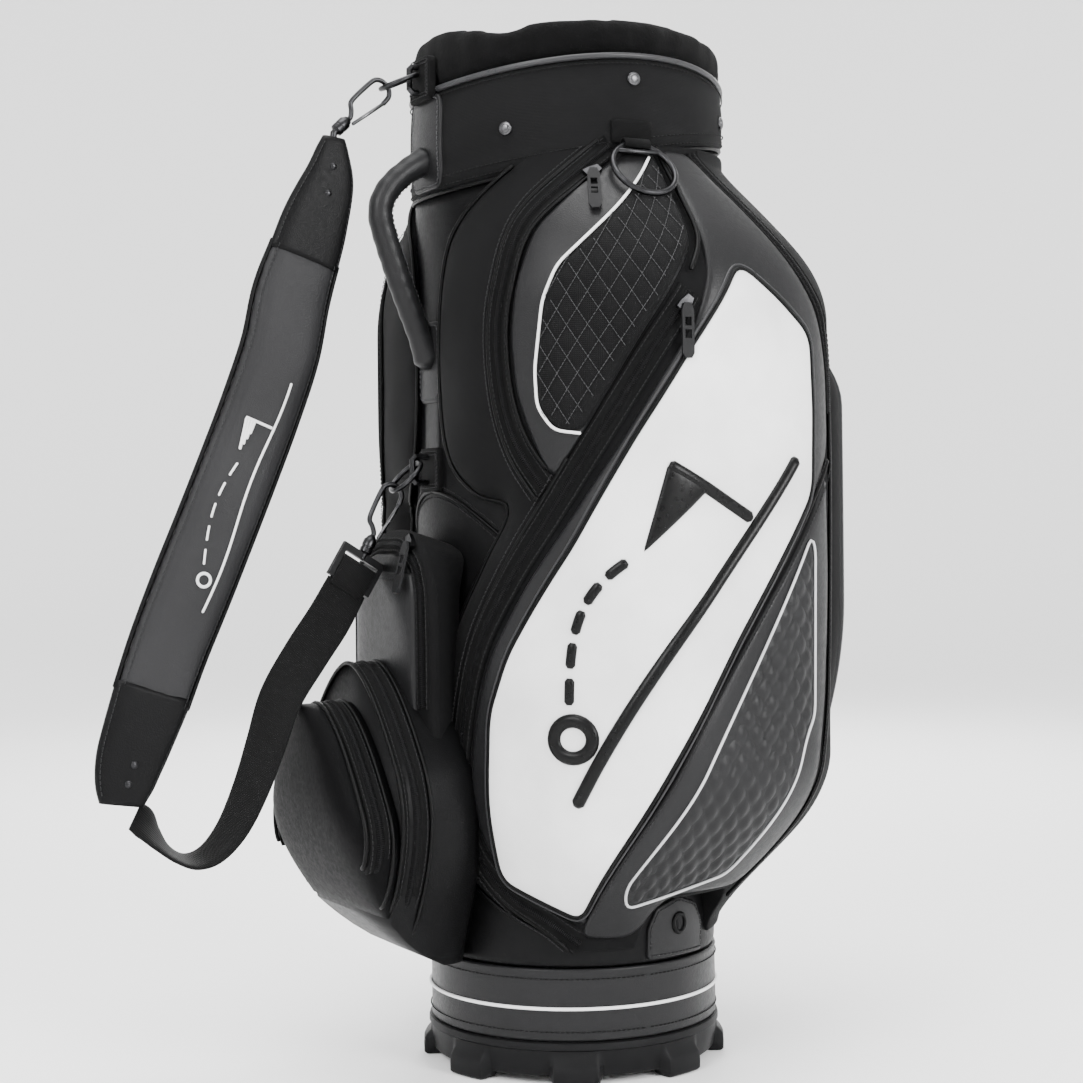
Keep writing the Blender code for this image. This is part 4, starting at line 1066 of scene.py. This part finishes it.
def cuff_surface(angle, height):
    """The cuff's band, a little fuller between its seams."""
    share = ramp(height, cuff_seam(angle), cuff_piping_height(angle))
    return CUFF_RADIUS - 0.0008 + 0.0022 * np.sin(share * np.pi)


def cover_surface(angle, height):
    return core(height)


def upright(radius):
    """The surface of a plain cylinder."""
    return lambda angle, height: radius + 0 * angle


def dented(angle, height, depth, seed=0.0):
    """A soft unevenness of fabric that is stretched round the bag."""
    turn = math.radians(angle)
    wave = np.sin(3 * turn + 21 * height + seed) + np.sin(7 * turn - 33 * height + 2 * seed)
    return depth * (wave + 0.6 * np.sin(13 * turn + 57 * height + 3 * seed)) / 2.6


def body_cover():
    def profile(angle):
        top = cuff_seam(angle) - 0.0010
        heights = np.concatenate([np.linspace(top, 0.11, 44), [0.104, 0.100, 0.0985]])
        inset = np.interp(heights, [0.0985, 0.0995, 0.103], [0.0016, 0.0005, 0])
        outside = [(core(h) - i + dented(angle, h, 0.0004), h) for h, i in zip(heights, inset)]
        return [*outside, (COVER_INNER, 0.0985), (COVER_INNER, top)]

    piece("cover_shell", swept(profile), DARK_LEATHER, slot="cover_fabric", stands_for="body_cover")
    right = [(-90, 0.497), (-82, 0.494), (-73, 0.486), (-62, 0.470), (-53, 0.453), (-46, 0.436)]
    right = through(sheet(right), 8)
    for label, line in (("r", right), ("l", sheet([(-180, 0)]) - right * [1, -1])):
        seam_line(f"cover_seam_{label}", line, cover_surface, BLACK_TRIM, 0.0006, 0.0016)
        offset = 0.005 if label == "r" else -0.005
        rows = [shifted(line, offset), shifted(line, -offset)]
        sewn(f"cover_stitches_{label}", rows, cover_surface, SOFT_GREY_THREAD, 0.0004)
    strip = [(-95.5, 0.505), (-84.5, 0.505), (-84.5, 0.585), (-95.5, 0.585)]
    patch("front_strip", strip, cover_surface, SATIN, lift=0.0016, roll=0.0015, corner=0.004,
          slot="cover_fabric")


TURNS = np.arange(0, 360, 2.0)


def cuff():
    def band(angle):
        low, high = float(cuff_seam(angle)), float(cuff_piping_height(angle)) - 0.0012
        outside = []
        for share in np.linspace(1, 0, 22):
            height = low + (high - low) * share
            edge = 0.0012 * (math.exp(-((share / 0.04) ** 2)) + math.exp(-(((1 - share) / 0.04) ** 2)))
            hem = 0.0013 * math.exp(-(((share - 0.11) / 0.085) ** 4))
            dent = dented(angle, low + share * 0.06, 0.0005, 2.0)
            outside.append((cuff_surface(angle, height) - edge + hem + dent, height))
        return [*outside, (COVER_INNER, low), (COVER_INNER, high)]

    piece("cuff_shell", swept(band), CUFF_FABRIC, slot="cover_fabric", stands_for="cuff_band")
    seam, top = cuff_seam(TURNS), cuff_piping_height(TURNS)
    tubed("cuff_piping_tube", polar(CUFF_RADIUS - 0.0002, TURNS, top), 0.0026, GREY_TRIM, slot="cuff_piping",
          stands_for="cuff_piping", sides=12, closed=True)
    rows = Shape()
    for line in (seam + 0.0045, seam + 0.0120, top - 0.0065):
        sew(rows, cuff_surface, np.stack([TURNS * ARC, line], -1), 0.0013, closed=True)
    piece("cuff_stitches", rows, DARK_THREAD, slot="cover_fabric")
    tubed("cuff_lower_piping", polar(CUFF_RADIUS - 0.0014, TURNS, seam - 0.0006), 0.0020, BLACK_TRIM,
          slot="cover_fabric", sides=8, closed=True)


def puffed(obj, pressure, cap):
    """Remeshes a soft closed piece, blows it up as cloth and caps how far each point moves."""
    scene = bpy.context.scene
    bpy.context.view_layer.objects.active = obj
    remesh = obj.modifiers.new("remesh", "REMESH")
    remesh.mode, remesh.voxel_size = "VOXEL", 0.0045
    bpy.ops.object.modifier_apply(modifier="remesh")
    start = np.empty(len(obj.data.vertices) * 3, np.float32)
    obj.data.vertices.foreach_get("co", start)
    blown = obj.modifiers.new("cloth", "CLOTH")
    blown.settings.use_pressure = True
    blown.settings.uniform_pressure_force = pressure
    blown.settings.effector_weights.gravity = 0
    for frame_number in range(1, 17):
        scene.frame_set(frame_number)
    bpy.ops.object.modifier_apply(modifier="cloth")
    moved = np.empty_like(start)
    obj.data.vertices.foreach_get("co", moved)
    step = (moved - start).reshape(-1, 3)
    far = np.linalg.norm(step, axis=1)[:, None]
    step *= np.minimum(1, cap / np.maximum(far, 1e-9))
    obj.data.vertices.foreach_set("co", (start.reshape(-1, 3) + step).ravel())
    scene.frame_set(1)
    smooth = obj.modifiers.new("smooth", "SMOOTH")
    smooth.factor, smooth.iterations = 0.5, 3
    bpy.ops.object.modifier_apply(modifier="smooth")
    finer = obj.modifiers.new("finer", "SUBSURF")
    finer.levels = finer.render_levels = 1
    bpy.ops.object.modifier_apply(modifier="finer")
    obj.data.shade_smooth()


def collar():
    def profile(angle):
        low, high = float(cuff_piping_height(angle)) + 0.0015, float(collar_height(angle)) - 0.0020
        out, within_ = CUFF_RADIUS - 0.0010, COVER_INNER + 0.0008
        turn = math.radians(angle)
        gather = 0.0007 * math.sin(turn * 31) + 0.0007 * math.sin(turn * 17 + 1)
        middle, reach, tall = (out + within_) / 2, (out - within_) / 2, high - low
        points = []
        for t in np.radians(np.arange(90, -270, -15)):
            x = math.copysign(abs(math.cos(t)) ** 0.75, math.cos(t))
            y = math.copysign(abs(math.sin(t)) ** 0.7, math.sin(t))
            points.append((middle + (reach + gather * (y > -0.6)) * x, low + tall * (0.5 + 0.5 * y)))
        return points

    made = piece("collar_ring", swept(profile, 240), FLEECE, slot="collar_fleece", stands_for="cuff_collar")
    puffed(made, 3.5, 0.0022)


def studs():
    for number, (angle, height) in enumerate([(-51, 0.795), (-6, 0.836), (46, 0.818)], 1):
        place = polar(float(cuff_surface(angle, height)) + 0.0008, angle, height)
        made = Shape().add(*solid(*dome(place, polar(1, angle, 0), 0.0056, 0.0024)))
        piece(f"stud_{number}", made, BRIGHT_METAL, "bag", "dark_metal", 50, f"snap_stud_{number}")


def base():
    lugs, wide, narrow = 8, 0.175, 0.235

    def cup(angle):
        turn = (angle / 360 * lugs - 0.35 + 0.5) % 1 - 0.5
        lug = float(ease(-abs(turn), -narrow, -wide))
        return [
            (0.1195, 0.0358), (0.1262, 0.0362), (0.1281, 0.0352), (0.1287, 0.0330), (0.1287, 0.0300),
            (0.1272, 0.0285), (0.1268 + 0.0012 * lug, 0.0220), (0.1262 + 0.0058 * lug, 0.0175),
            (0.1256 + 0.0078 * lug, 0.0150), (0.1250 + 0.0088 * lug, 0.0100 - 0.002 * lug),
            (0.1246 + 0.0090 * lug, 0.0080 - 0.0060 * lug), (0.1236 + 0.0080 * lug, 0.0070 - 0.0066 * lug),
            (0.1220 + 0.006 * lug, 0.0066 - 0.0066 * lug), (0.1150, 0.0066 - 0.0066 * lug),
            (0.1135, 0.0072 - 0.0060 * lug), (0.1120, 0.0075), (0.0380, 0.0075), (0.0365, 0.0066),
            (0.0352, 0.0), (0.0020, 0.0), (0.0020, 0.0119), (0.1177, 0.0119), (0.1177, 0.0345),
        ]

    piece("base_cup", swept(cup, 480), BLACK_PLASTIC, "bag", "base_plastic", 38, "base_mould")

    def band(angle):
        outside = [(0.1235, 0.0966), (0.1250, 0.0970), (0.1264, 0.0964), (0.1269, 0.0950), (0.1262, 0.0930)]
        outside += [(0.1263 + dented(angle, h, 0.0005, 4.0), h) for h in np.linspace(0.090, 0.042, 16)]
        outside += [(0.1266, 0.0390), (0.1262, 0.0372), (0.1245, 0.0366)]
        return [*outside, (COVER_INNER, 0.0366), (COVER_INNER, 0.0966)]

    piece("base_band_shell", swept(band), SATIN, slot="band_leather", stands_for="base_band")
    tubed("base_piping_line", polar(0.1272, TURNS, 0.064 + 0 * TURNS), 0.0015, LIGHT_TRIM,
          slot="white_piping", stands_for="base_piping", closed=True)
    rows = Shape()
    for height in (0.0885, 0.0445):
        flat = np.stack([TURNS * ARC, height + 0 * TURNS], -1)
        sew(rows, upright(0.1264), flat, 0.0004, closed=True)
    piece("base_stitches", rows, DARK_THREAD, slot="band_leather")


def keyhole():
    surface, slot = upright(0.1279), "patch_leather"
    arch = [(-1, 0.101), (28, 0.101), (28, 0.128), (24, 0.144), (13.5, 0.152), (3, 0.144), (-1, 0.128)]
    patch("keyhole_panel", arch, surface, SATIN, 0.0022, 0.002, 0.0008, 0.004, 0.004, slot=slot,
          stands_for="keyhole_patch")
    rows = sew_rim(Shape(), arch, surface, 0.0026, 0.0035, 0.004)
    piece("keyhole_stitches", rows, SOFT_GREY_THREAD, slot=slot)
    turns = np.linspace(0, math.tau, 32, endpoint=False)
    hole = np.stack([13.5 * ARC + 0.0105 * np.cos(turns), 0.129 + 0.0078 * np.sin(turns)], -1)
    places, _ = on_surface(surface, hole, 0.0030)
    tubed("keyhole_grommet", places, 0.0019, BLACK_TRIM, slot=slot, closed=True)
    places, normals = on_surface(surface, sheet([(13.5, 0.1345), (13.5, 0.1240)]), 0.0030)
    tubed("keyhole_slot", places, [0.0040, 0.0026], BLACK_PLASTIC, slot=slot, sides=16, flat=0.25,
          first=normals[0])


# ---------------------------------------------------------------- dividers and handle


def dividers():
    for label, y in (("front", -0.036), ("rear", 0.036)):
        reach = math.sqrt(0.1062**2 - y**2)
        width, low, high = 2 * reach - 0.004, 0.0172, 0.8225
        x = np.linspace(-width / 2, width / 2, 28)
        sections = []
        for height in np.linspace(high, low, 80):
            drop = (high - height) / (high - low)
            wave = y + 0.0022 * drop * np.sin(x * 70 + 2.2 * drop) * np.cos(x / reach * 1.5)
            front, rear = (np.stack([x, wave + side * 0.0006, 0 * x + height], -1) for side in (-1, 1))
            sections.append(np.vstack([front, rear[::-1]]))
        made = lofted(f"divider_sheet_{label}", sections, FABRIC, slot="divider_fabric",
                      stands_for=f"divider_{label}")


def square(low, high, foot, top):
    return [(low, foot), (high, foot), (high, top), (low, top)]


def handle():
    upper, lower = square(-101, -79, 0.7540, 0.8350), square(-98, -82, 0.5720, 0.6420)
    tabs = (("upper", upper, cuff_surface, 0.0034, 0.014), ("lower", lower, cover_surface, 0.0036, 0.012))
    for label, outline, surface, lift, corner in tabs:
        patch(f"handle_tab_{label}", outline, surface, SATIN, lift, 0.002, 0.0008, 0.005, corner,
              slot="patch_leather", stands_for=f"handle_patch_{label}")
        rows = sew_rim(Shape(), outline, surface, 0.0040, 0.0036, corner)
        piece(f"handle_tab_stitches_{label}", rows, GREY_THREAD, slot="patch_leather")
    route = [
        (-0.1400, 0.7800), (-0.1556, 0.7712), (-0.1706, 0.7585), (-0.1800, 0.7448), (-0.1826, 0.7302),
        (-0.1775, 0.7103), (-0.165, 0.6754), (-0.148, 0.6337), (-0.1385, 0.6100),
    ]
    path = resample(through([(0, y, z) for y, z in route], 8), 0.003)
    far = np.linspace(0, 1, len(path))
    radius = 0.0104 + 0.0022 * np.exp(-((far / 0.06) ** 2)) + 0.0022 * np.exp(-(((1 - far) / 0.06) ** 2))
    radius = radius + 0.00025 * np.sin(far * 90)
    tubed("handle_tube", path, radius, SATIN, slot="patch_leather", stands_for="handle_grip", sides=24,
          first=(1, 0, 0))
    under = np.cross(frames(path)[0], (1, 0, 0))
    under /= np.linalg.norm(under, axis=1)[:, None]
    rows = Shape()
    for turn in (-0.35, 0.35):
        normal = under * math.cos(turn) + np.array([1.0, 0, 0]) * math.sin(turn)
        normal *= -np.sign(np.sum(normal[len(normal) // 2] * [0, -1, 0]) + 1e-9)
        seam = path + normal * radius[:, None]
        stitches(rows, seam[3:-3], normal[3:-3], length=0.0026, pitch=0.0042)
    piece("handle_stitches", rows, GREY_THREAD, slot="patch_leather")


def ring_patches():
    for label, height, foot in (("upper", 0.849, CUFF_RADIUS + 0.0045), ("lower", 0.515, 0.1356)):
        outline, surface = square(-97.5, -82.5, height - 0.0185, height + 0.0185), upright(foot)
        patch(f"ring_patch_{label}", outline, surface, TAPE, lift=0.0044, roll=0.0012, spacing=0.004,
              corner=0.004, skirt=0.006, slot="ring_webbing")
        rows = Shape()
        for inset in (0.003, 0.006):
            sew_rim(rows, outline, surface, 0.0046, inset, 0.004, 0.003, length=0.0022, pitch=0.0034)
        piece(f"ring_patch_stitches_{label}", rows, SOFT_GREY_THREAD, slot="ring_webbing")


# ---------------------------------------------------------------- rings, hooks and strap

WIRE = 0.0022
HOOK_REACH = 0.047
HOOKS = {  # height of the anchor bar, the ring's tilt in degrees, direction from hook to ring
    "upper": (0.850, 24, np.array([0, 0.728, 0.685]) / math.hypot(0.728, 0.685)),
    "lower": (0.515, 45, np.array([0, 0.457, 0.889]) / math.hypot(0.457, 0.889)),
}
HOOK_SLEEVE = [  # (distance along, radius) of the swivel barrel
    (-0.0122, 0.0040), (-0.0118, 0.0054), (-0.0085, 0.0056), (-0.0080, 0.0050), (-0.0070, 0.0050),
    (-0.0065, 0.0056), (-0.0010, 0.0056), (0.0006, 0.0045), (0.0028, 0.0036), (0.0032, 0.0030),
]


def ring_heel(tilt):
    return 0.0060 / math.cos(math.radians(tilt))


def hook_place(label):
    """The hook's swivel point and its directions along and across."""
    height, tilt, line = HOOKS[label]
    reach, turn = 0.034 - ring_heel(tilt), math.radians(tilt)
    end = np.array([0, STRAP_AXIS - reach * math.cos(turn), height - reach * math.sin(turn)])
    return end - line * HOOK_REACH, line, np.array([0, -line[2], line[1]])


def rings_and_hooks():
    for label, (height, tilt, _) in HOOKS.items():
        out = np.array([0, -math.cos(math.radians(tilt)), -math.sin(math.radians(tilt))])
        centre = np.array([0, STRAP_AXIS, height]) + out * (0.017 - ring_heel(tilt))
        turns = np.linspace(0, math.tau, 64, endpoint=False)
        ring = centre + np.outer(0.015 * np.cos(turns), (1, 0, 0)) + np.outer(0.017 * np.sin(turns), out)
        tubed(f"ring_wire_{label}", ring, WIRE, GUNMETAL, "strap", "dark_metal", f"strap_ring_{label}",
              sides=14, closed=True)
        origin, along, across = hook_place(label)

        def at(places):
            return [origin + along * s + across * w for s, w in places]

        turns = np.linspace(math.pi / 8, math.pi * 7 / 8, 7)
        bow = [(0.042 + 0.0097 * math.sin(t), 0.0100 * math.cos(t)) for t in turns]
        wire = [(0.001, 0), (0.006, 0), (0.011, 0.004), (0.015, 0.0088), (0.024, 0.0100), (0.040, 0.0100),
                *bow, (0.0400, -0.0100), (0.0382, -0.0100)]
        made = Shape().add(*tube(resample(through(at(wire), 6), 0.0015), WIRE, sides=14))
        made.add(*tube(at([(s, 0) for s, _ in HOOK_SLEEVE]), [r for _, r in HOOK_SLEEVE], sides=20))
        piece(f"hook_wire_{label}", made, GUNMETAL, f"snap_hook_{label}", "dark_metal", 45, f"hook_{label}")
        foot = [origin - along * 0.0175]
        if label == "upper":
            foot = [(0, -0.2255, 0.7870), (0, -0.2266, 0.7780)]
        stem = [origin - along * 0.0110, origin - along * 0.0150, *foot]
        tubed(f"hook_stem_{label}", stem, 0.0030, GUNMETAL, "strap", "dark_metal", sides=14)
        gate = at([(0.0042, -0.0053), (0.020, -0.0076), (0.0370, -0.0099)])
        tubed(f"gate_wire_{label}", gate, 0.0016, BRIGHT_METAL, f"hook_gate_{label}", "dark_metal",
              f"hook_gate_{label}", sides=12)


# Stations down the strap: y, z, half width, half thickness
CAP_UPPER = [
    (-0.2247, 0.7922, 0.010, 0.0045), (-0.2262, 0.7800, 0.015, 0.0060), (-0.2300, 0.7549, 0.023, 0.0070),
    (-0.2417, 0.7215, 0.029, 0.0078), (-0.2507, 0.6950, 0.031, 0.0080), (-0.2530, 0.6880, 0.0312, 0.0078),
]
PAD = [
    (-0.2513, 0.6936, 0.031, 0.0085), (-0.2642, 0.6558, 0.0335, 0.0100), (-0.2740, 0.6121, 0.034, 0.0105),
    (-0.2910, 0.5640, 0.034, 0.0105), (-0.3090, 0.5189, 0.034, 0.0105), (-0.3310, 0.4660, 0.034, 0.0105),
    (-0.3520, 0.4166, 0.034, 0.0105), (-0.3710, 0.3710, 0.033, 0.0100), (-0.3858, 0.3306, 0.032, 0.0085),
]
CAP_LOWER = [
    (-0.3836, 0.3370, 0.0320, 0.0078), (-0.3862, 0.3294, 0.032, 0.0080), (-0.3965, 0.3020, 0.030, 0.0076),
    (-0.4037, 0.2817, 0.028, 0.0070), (-0.4085, 0.2620, 0.024, 0.0060), (-0.4110, 0.2470, 0.018, 0.0050),
]
# The webbing's: y, z, half width, twist in degrees
TAIL = [
    (-0.2166, 0.4160, 0.019, 0), (-0.2330, 0.3890, 0.019, 12), (-0.2540, 0.3600, 0.019, 28),
    (-0.2760, 0.3260, 0.019, 42), (-0.2890, 0.2900, 0.019, 52), (-0.3020, 0.2550, 0.019, 60),
    (-0.3180, 0.2230, 0.019, 68), (-0.3360, 0.2030, 0.019, 76), (-0.3540, 0.1975, 0.019, 80),
    (-0.3700, 0.2050, 0.019, 76), (-0.3830, 0.2190, 0.019, 62), (-0.3920, 0.2310, 0.018, 45),
    (-0.4000, 0.2375, 0.013, 30),
]


def strap_frame(stations, spacing=STEP):
    """Places, directions along and across, and the last two values of the stations, evenly down a strap."""
    smooth = resample(through(stations, 10), spacing)
    places = np.stack([0 * smooth[:, 0], smooth[:, 0], smooth[:, 1]], -1)
    along = frames(places)[0]
    across = np.stack([0 * along[:, 0], along[:, 2], -along[:, 1]], -1)
    return places, along, across, smooth[:, 2], smooth[:, 3]


def strap_loft(stations, power=3.2, shrink=0.0):
    """The sections of a soft bar with rounded sides."""
    places, _, across, wide, thick = strap_frame(stations)
    turns = np.linspace(0, math.tau, 40, endpoint=False)
    u = np.sign(np.cos(turns)) * np.abs(np.cos(turns)) ** (2 / power)
    v = np.sign(np.sin(turns)) * np.abs(np.sin(turns)) ** (2 / 2.2)
    return [
        p + np.outer(u * w, a) + np.outer(v * t, (1, 0, 0))
        for p, a, w, t in zip(places, across, wide - shrink, thick - shrink)
    ]


def strap_rows(stations, inset, lift):
    """Paths with normals on both broad faces, an inset from each edge."""
    places, _, across, wide, thick = strap_frame(stations)
    lines = []
    for face in (1, -1):
        for side in (1, -1):
            share = (wide - inset) / wide
            depth = thick * (1 - share ** 3.2) ** (1 / 2.2) + lift
            place = places + across * (side * (wide - inset))[:, None] + np.outer(depth * face, (1, 0, 0))
            lines.append((place, np.tile([float(face), 0, 0], (len(place), 1))))
    return lines


def strap_motif():
    """Raised light strokes along the pad: a ground line, a pin with its pennant, and a ball on its way."""
    places, _, across, *_ = strap_frame(PAD, 0.002)
    far = np.concatenate([[0], np.cumsum(np.linalg.norm(np.diff(places, axis=0), axis=1))])
    made = Shape()

    def stroke(points, radius, closed=False):
        points = resample(points, 0.002, closed)
        spots, sides = (
            np.stack([np.interp(points[:, 0], far, values[:, k]) for k in range(3)], -1)
            for values in (places, across)
        )
        spots = spots + sides * points[:, 1:]
        spots[:, 0] += 0.0121
        made.add(*tube(spots, radius, sides=10, closed=closed, flat=0.6, first=(1, 0, 0)))

    stroke([(u, -0.0115 + 0.002 * math.sin(u * 40)) for u in np.linspace(0.110, 0.310, 50)], 0.0011)
    stroke([(0.150, -0.0100), (0.150, 0.0130)], 0.0012)
    for drop in (0.0, 0.0025, 0.0050, 0.0075):
        stroke([(0.151, 0.0128 - drop), (0.176 - 2.0 * drop, 0.0090 - 0.45 * drop)], 0.0013)
    stroke(circle(0.286, -0.0030, 0.0055, 24), 0.0013, True)
    for start in np.arange(0.0, 0.9, 0.22):
        shares = np.linspace(start, start + 0.13, 6)
        stroke([(0.274 - 0.085 * s, 0.002 + 0.0095 * math.sin(s * 2.6)) for s in shares], 0.0010)
    piece("strap_motif", made, LIGHT_TRIM, "strap", "strap_leather")


def buckle_wrap():
    """The webbing's end: over the adjuster's front, back through its upper slot and down behind it."""
    origin, line, _ = hook_place("lower")
    low = np.array([0, -0.2160, 0.4172])
    up = origin - line * 0.0130 - low
    up /= np.linalg.norm(up)
    across = np.array([0, up[2], -up[1]])
    half = [(-0.006, 0.0010), (0.001, 0.0034), (0.009, 0.0037), (0.017, 0.0037), (0.0205, 0.0030)]
    loop = [*half, (0.0215, 0.0), *[(s, -x) for s, x in reversed(half)]]
    path = np.array([low + up * s + np.array([x, 0, 0]) for s, x in through(loop, 4)])
    ring = [(-1, -0.5), (-1, 0.5), (-0.95, 1), (0.95, 1), (1, 0.5), (1, -0.5), (0.95, -1), (-0.95, -1)]
    sections = []
    for place, tangent in zip(path, frames(path)[0]):
        thick = np.cross(tangent, across)
        sections.append([place + across * w * 0.0162 + thick * t * 0.0007 for w, t in ring])
    lofted("strap_buckle_wrap", sections, WEBBING, "strap", "webbing")


def strap_tape():
    """The webbing tail, which twists on its way from the pad to the adjuster."""
    places, along, flats, wide, twist = strap_frame(TAIL, 0.003)
    half = np.array([(-1, -0.4), (-1, 0.4), (-0.96, 0.9), (-0.5, 0.75), (0, 0.7), (0.5, 0.75), (0.96, 0.9)])
    ring = np.vstack([half, -half])
    sections = []
    for p, a, flat, w, turn in zip(places, along, flats, wide, np.radians(twist)):
        across = flat * math.cos(turn) + np.cross(a, flat) * math.sin(turn)
        thick = np.cross(a, across)
        sections.append(p + np.outer(ring[:, 0] * w, across) + np.outer(ring[:, 1] * 0.0014, thick))
    lofted("strap_tape", sections, WEBBING, "strap", "webbing", "strap_webbing")


def strap():
    sections = strap_loft(PAD, shrink=0.0006)
    pad = lofted("strap_cushion", sections, PAD_LEATHER, "strap", "strap_leather", "strap_pad")
    puffed(pad, 3.0, 0.0012)
    binding, rows = Shape(), Shape()
    places, _, across, wide, _ = strap_frame(PAD)
    for side in (1, -1):
        binding.add(*tube(places + across * (side * (wide - 0.0008))[:, None], 0.0021, sides=10))
    piece("strap_binding", binding, BLACK_TRIM, "strap", "strap_leather")
    for path, normals in strap_rows(PAD, 0.0055, 0.0006):
        stitches(rows, path, normals)
    for label, stations in (("upper", CAP_UPPER), ("lower", CAP_LOWER)):
        lofted(f"strap_end_{label}", strap_loft(stations, power=4.0), DARK_LEATHER, "strap",
               "strap_cap_leather", f"strap_cap_{label}")
        for path, normals in strap_rows(stations, 0.0030, 0.0006):
            stitches(rows, path[1:-1], normals[1:-1])
    piece("strap_stitches", rows, SOFT_GREY_THREAD, "strap", "strap_leather")
    rivets = Shape()
    for x, y, z in ((0.0062, -0.2280, 0.7670), (0.0068, -0.2330, 0.7440), (0.0066, -0.4022, 0.2790),
                    (0.0058, -0.4070, 0.2640)):
        for face in (1, -1):
            rivets.add(*solid(*dome(np.array([face * x, y, z]), (face, 0, 0), 0.0030, 0.0018, 16)))
    piece("strap_rivets", rivets, GUNMETAL, "strap", "dark_metal", 50)
    strap_tape()
    buckle_wrap()


# ---------------------------------------------------------------- towel ring


def towel_ring():
    angle, lean, up = -7.0, math.radians(37), np.array([0, 0, 1.0])
    out, side = polar(1, angle, 0), polar(1, angle + 90, 0)
    pivot = out * 0.1465 + up * 0.7790
    down = out * math.sin(lean) - up * math.cos(lean)
    turns = np.linspace(0, math.tau, 72, endpoint=False)
    drops = np.maximum(0.0, 0.0275 - 0.0285 * np.cos(turns))
    ring = pivot + np.outer(0.0270 * np.sin(turns), side) + np.outer(drops, down)
    made = Shape().add(*tube(ring, 0.0026, sides=14, closed=True))
    made.add(*tube([pivot + down * 0.0075 + side * x for x in (-0.0195, 0, 0.0195)], 0.0022, sides=14))
    piece("towel_wire", made, GUNMETAL, "towel_ring", "dark_metal", stands_for="towel_ring")
    patch("towel_tab", square(angle - 7.5, angle + 7.5, 0.7815, 0.8010), cuff_surface, TAPE, lift=0.0030,
          roll=0.0012, spacing=0.003, corner=0.002, skirt=0.006, slot="ring_webbing",
          stands_for="towel_ring_tab")
    sections, flat = [], [(-0.0115, -0.0006), (-0.0115, 0.0006), (0.0115, 0.0006), (0.0115, -0.0006)]
    for turn in np.linspace(-0.5, math.tau - 1.4, 22):
        radial = out * math.cos(turn) + up * math.sin(turn)
        sections.append([pivot + radial * (0.0052 + t) + side * w for w, t in flat])
    lofted("towel_loop", sections, TAPE, slot="ring_webbing")


# ---------------------------------------------------------------- the bag

for build in (
    side_shell, side_panels, side_trims, side_zips, emblem, mirror_sides, rear_pocket, accessory_pocket,
    ball_pockets, body_cover, cuff, collar, studs, base, keyhole, dividers, handle, ring_patches,
    rings_and_hooks, strap, strap_motif, towel_ring,
):
    build()

CAD_LOOKS = {  # by the start of the node's name
    "body_tube": LINER, "base_plate": LINER, "top_divider": BLACK_PLASTIC, "strap_adjuster": BLACK_PLASTIC,
    "ring_tab": GUNMETAL, "zip_slider": GUNMETAL, "zip_pull": PULL_RUBBER,
}
for name, node in frame["nodes"].items():
    for start, look in CAD_LOOKS.items():
        if name.startswith(start):
            node.data.materials.clear()
            node.data.materials.append(look)
            edges = node.modifiers.new("round", "BEVEL")
            edges.width = 0.0005 if name.startswith("zip") else 0.0008
            edges.segments = 2
            edges.angle_limit = math.radians(50)


# ---------------------------------------------------------------- camera and studio


def camera():
    data = bpy.data.cameras.new("camera")
    data.lens, data.sensor_width = 64.99, 36
    data.shift_x = -0.0259
    obj = bpy.data.objects.new("camera", data)
    obj.location = (1.5155, -0.875, 0.4524)
    obj.rotation_euler = (math.radians(90), math.radians(0.5), math.radians(60))
    bpy.context.scene.collection.objects.link(obj)
    bpy.context.scene.camera = obj


def studio():
    """A big pale bowl: a floor that curves up into a wall all round, under soft lamps."""
    profile = [(0.001, 0), (1.5, 0), (3.4, 0), (4.1, 0.08), (4.7, 0.35), (5.1, 0.9), (5.3, 1.8), (5.35, 3.2)]
    turns = np.arange(0, 360, 4.0)
    sections = [polar(radius, turns, height) for radius, height in through(profile, 5)]
    verts, faces = skin(sections)
    mesh = bpy.data.meshes.new("studio_bowl")
    mesh.from_pydata([tuple(v) for v in verts], [], [f[::-1] for f in faces])
    mesh.shade_smooth()
    bowl = bpy.data.objects.new("studio_bowl", mesh)
    bpy.context.scene.collection.objects.link(bowl)
    look = Look("studio_paper", 0.9, specular=0.1)
    look.tint(look.noise(0.6, 1), (1, 1, 1), 0.95, 0.97)
    mesh.materials.append(look.made)
    world = bpy.data.worlds.new("studio")
    world.use_nodes = True
    world.node_tree.nodes["Background"].inputs["Color"].default_value = (1, 1, 1, 1)
    world.node_tree.nodes["Background"].inputs["Strength"].default_value = 1.35
    bpy.context.scene.world = world
    lamps = {
        "key": ((1.4, -2.6, 2.3), 1.6, 90), "side": ((3.0, 0.9, 1.6), 1.3, 110),
        "top": ((0.2, -0.2, 3.1), 2.0, 90), "back": ((-2.4, 1.6, 2.0), 1.6, 90),
    }
    for name, (place, size, power) in lamps.items():
        data = bpy.data.lights.new(f"lamp_{name}", "AREA")
        data.shape, data.size, data.energy = "DISK", size, power
        lamp = bpy.data.objects.new(f"lamp_{name}", data)
        lamp.location = place
        lamp.rotation_euler = (Vector((0, 0, 0.45)) - Vector(place)).to_track_quat("-Z", "Y").to_euler()
        bpy.context.scene.collection.objects.link(lamp)


camera()
studio()
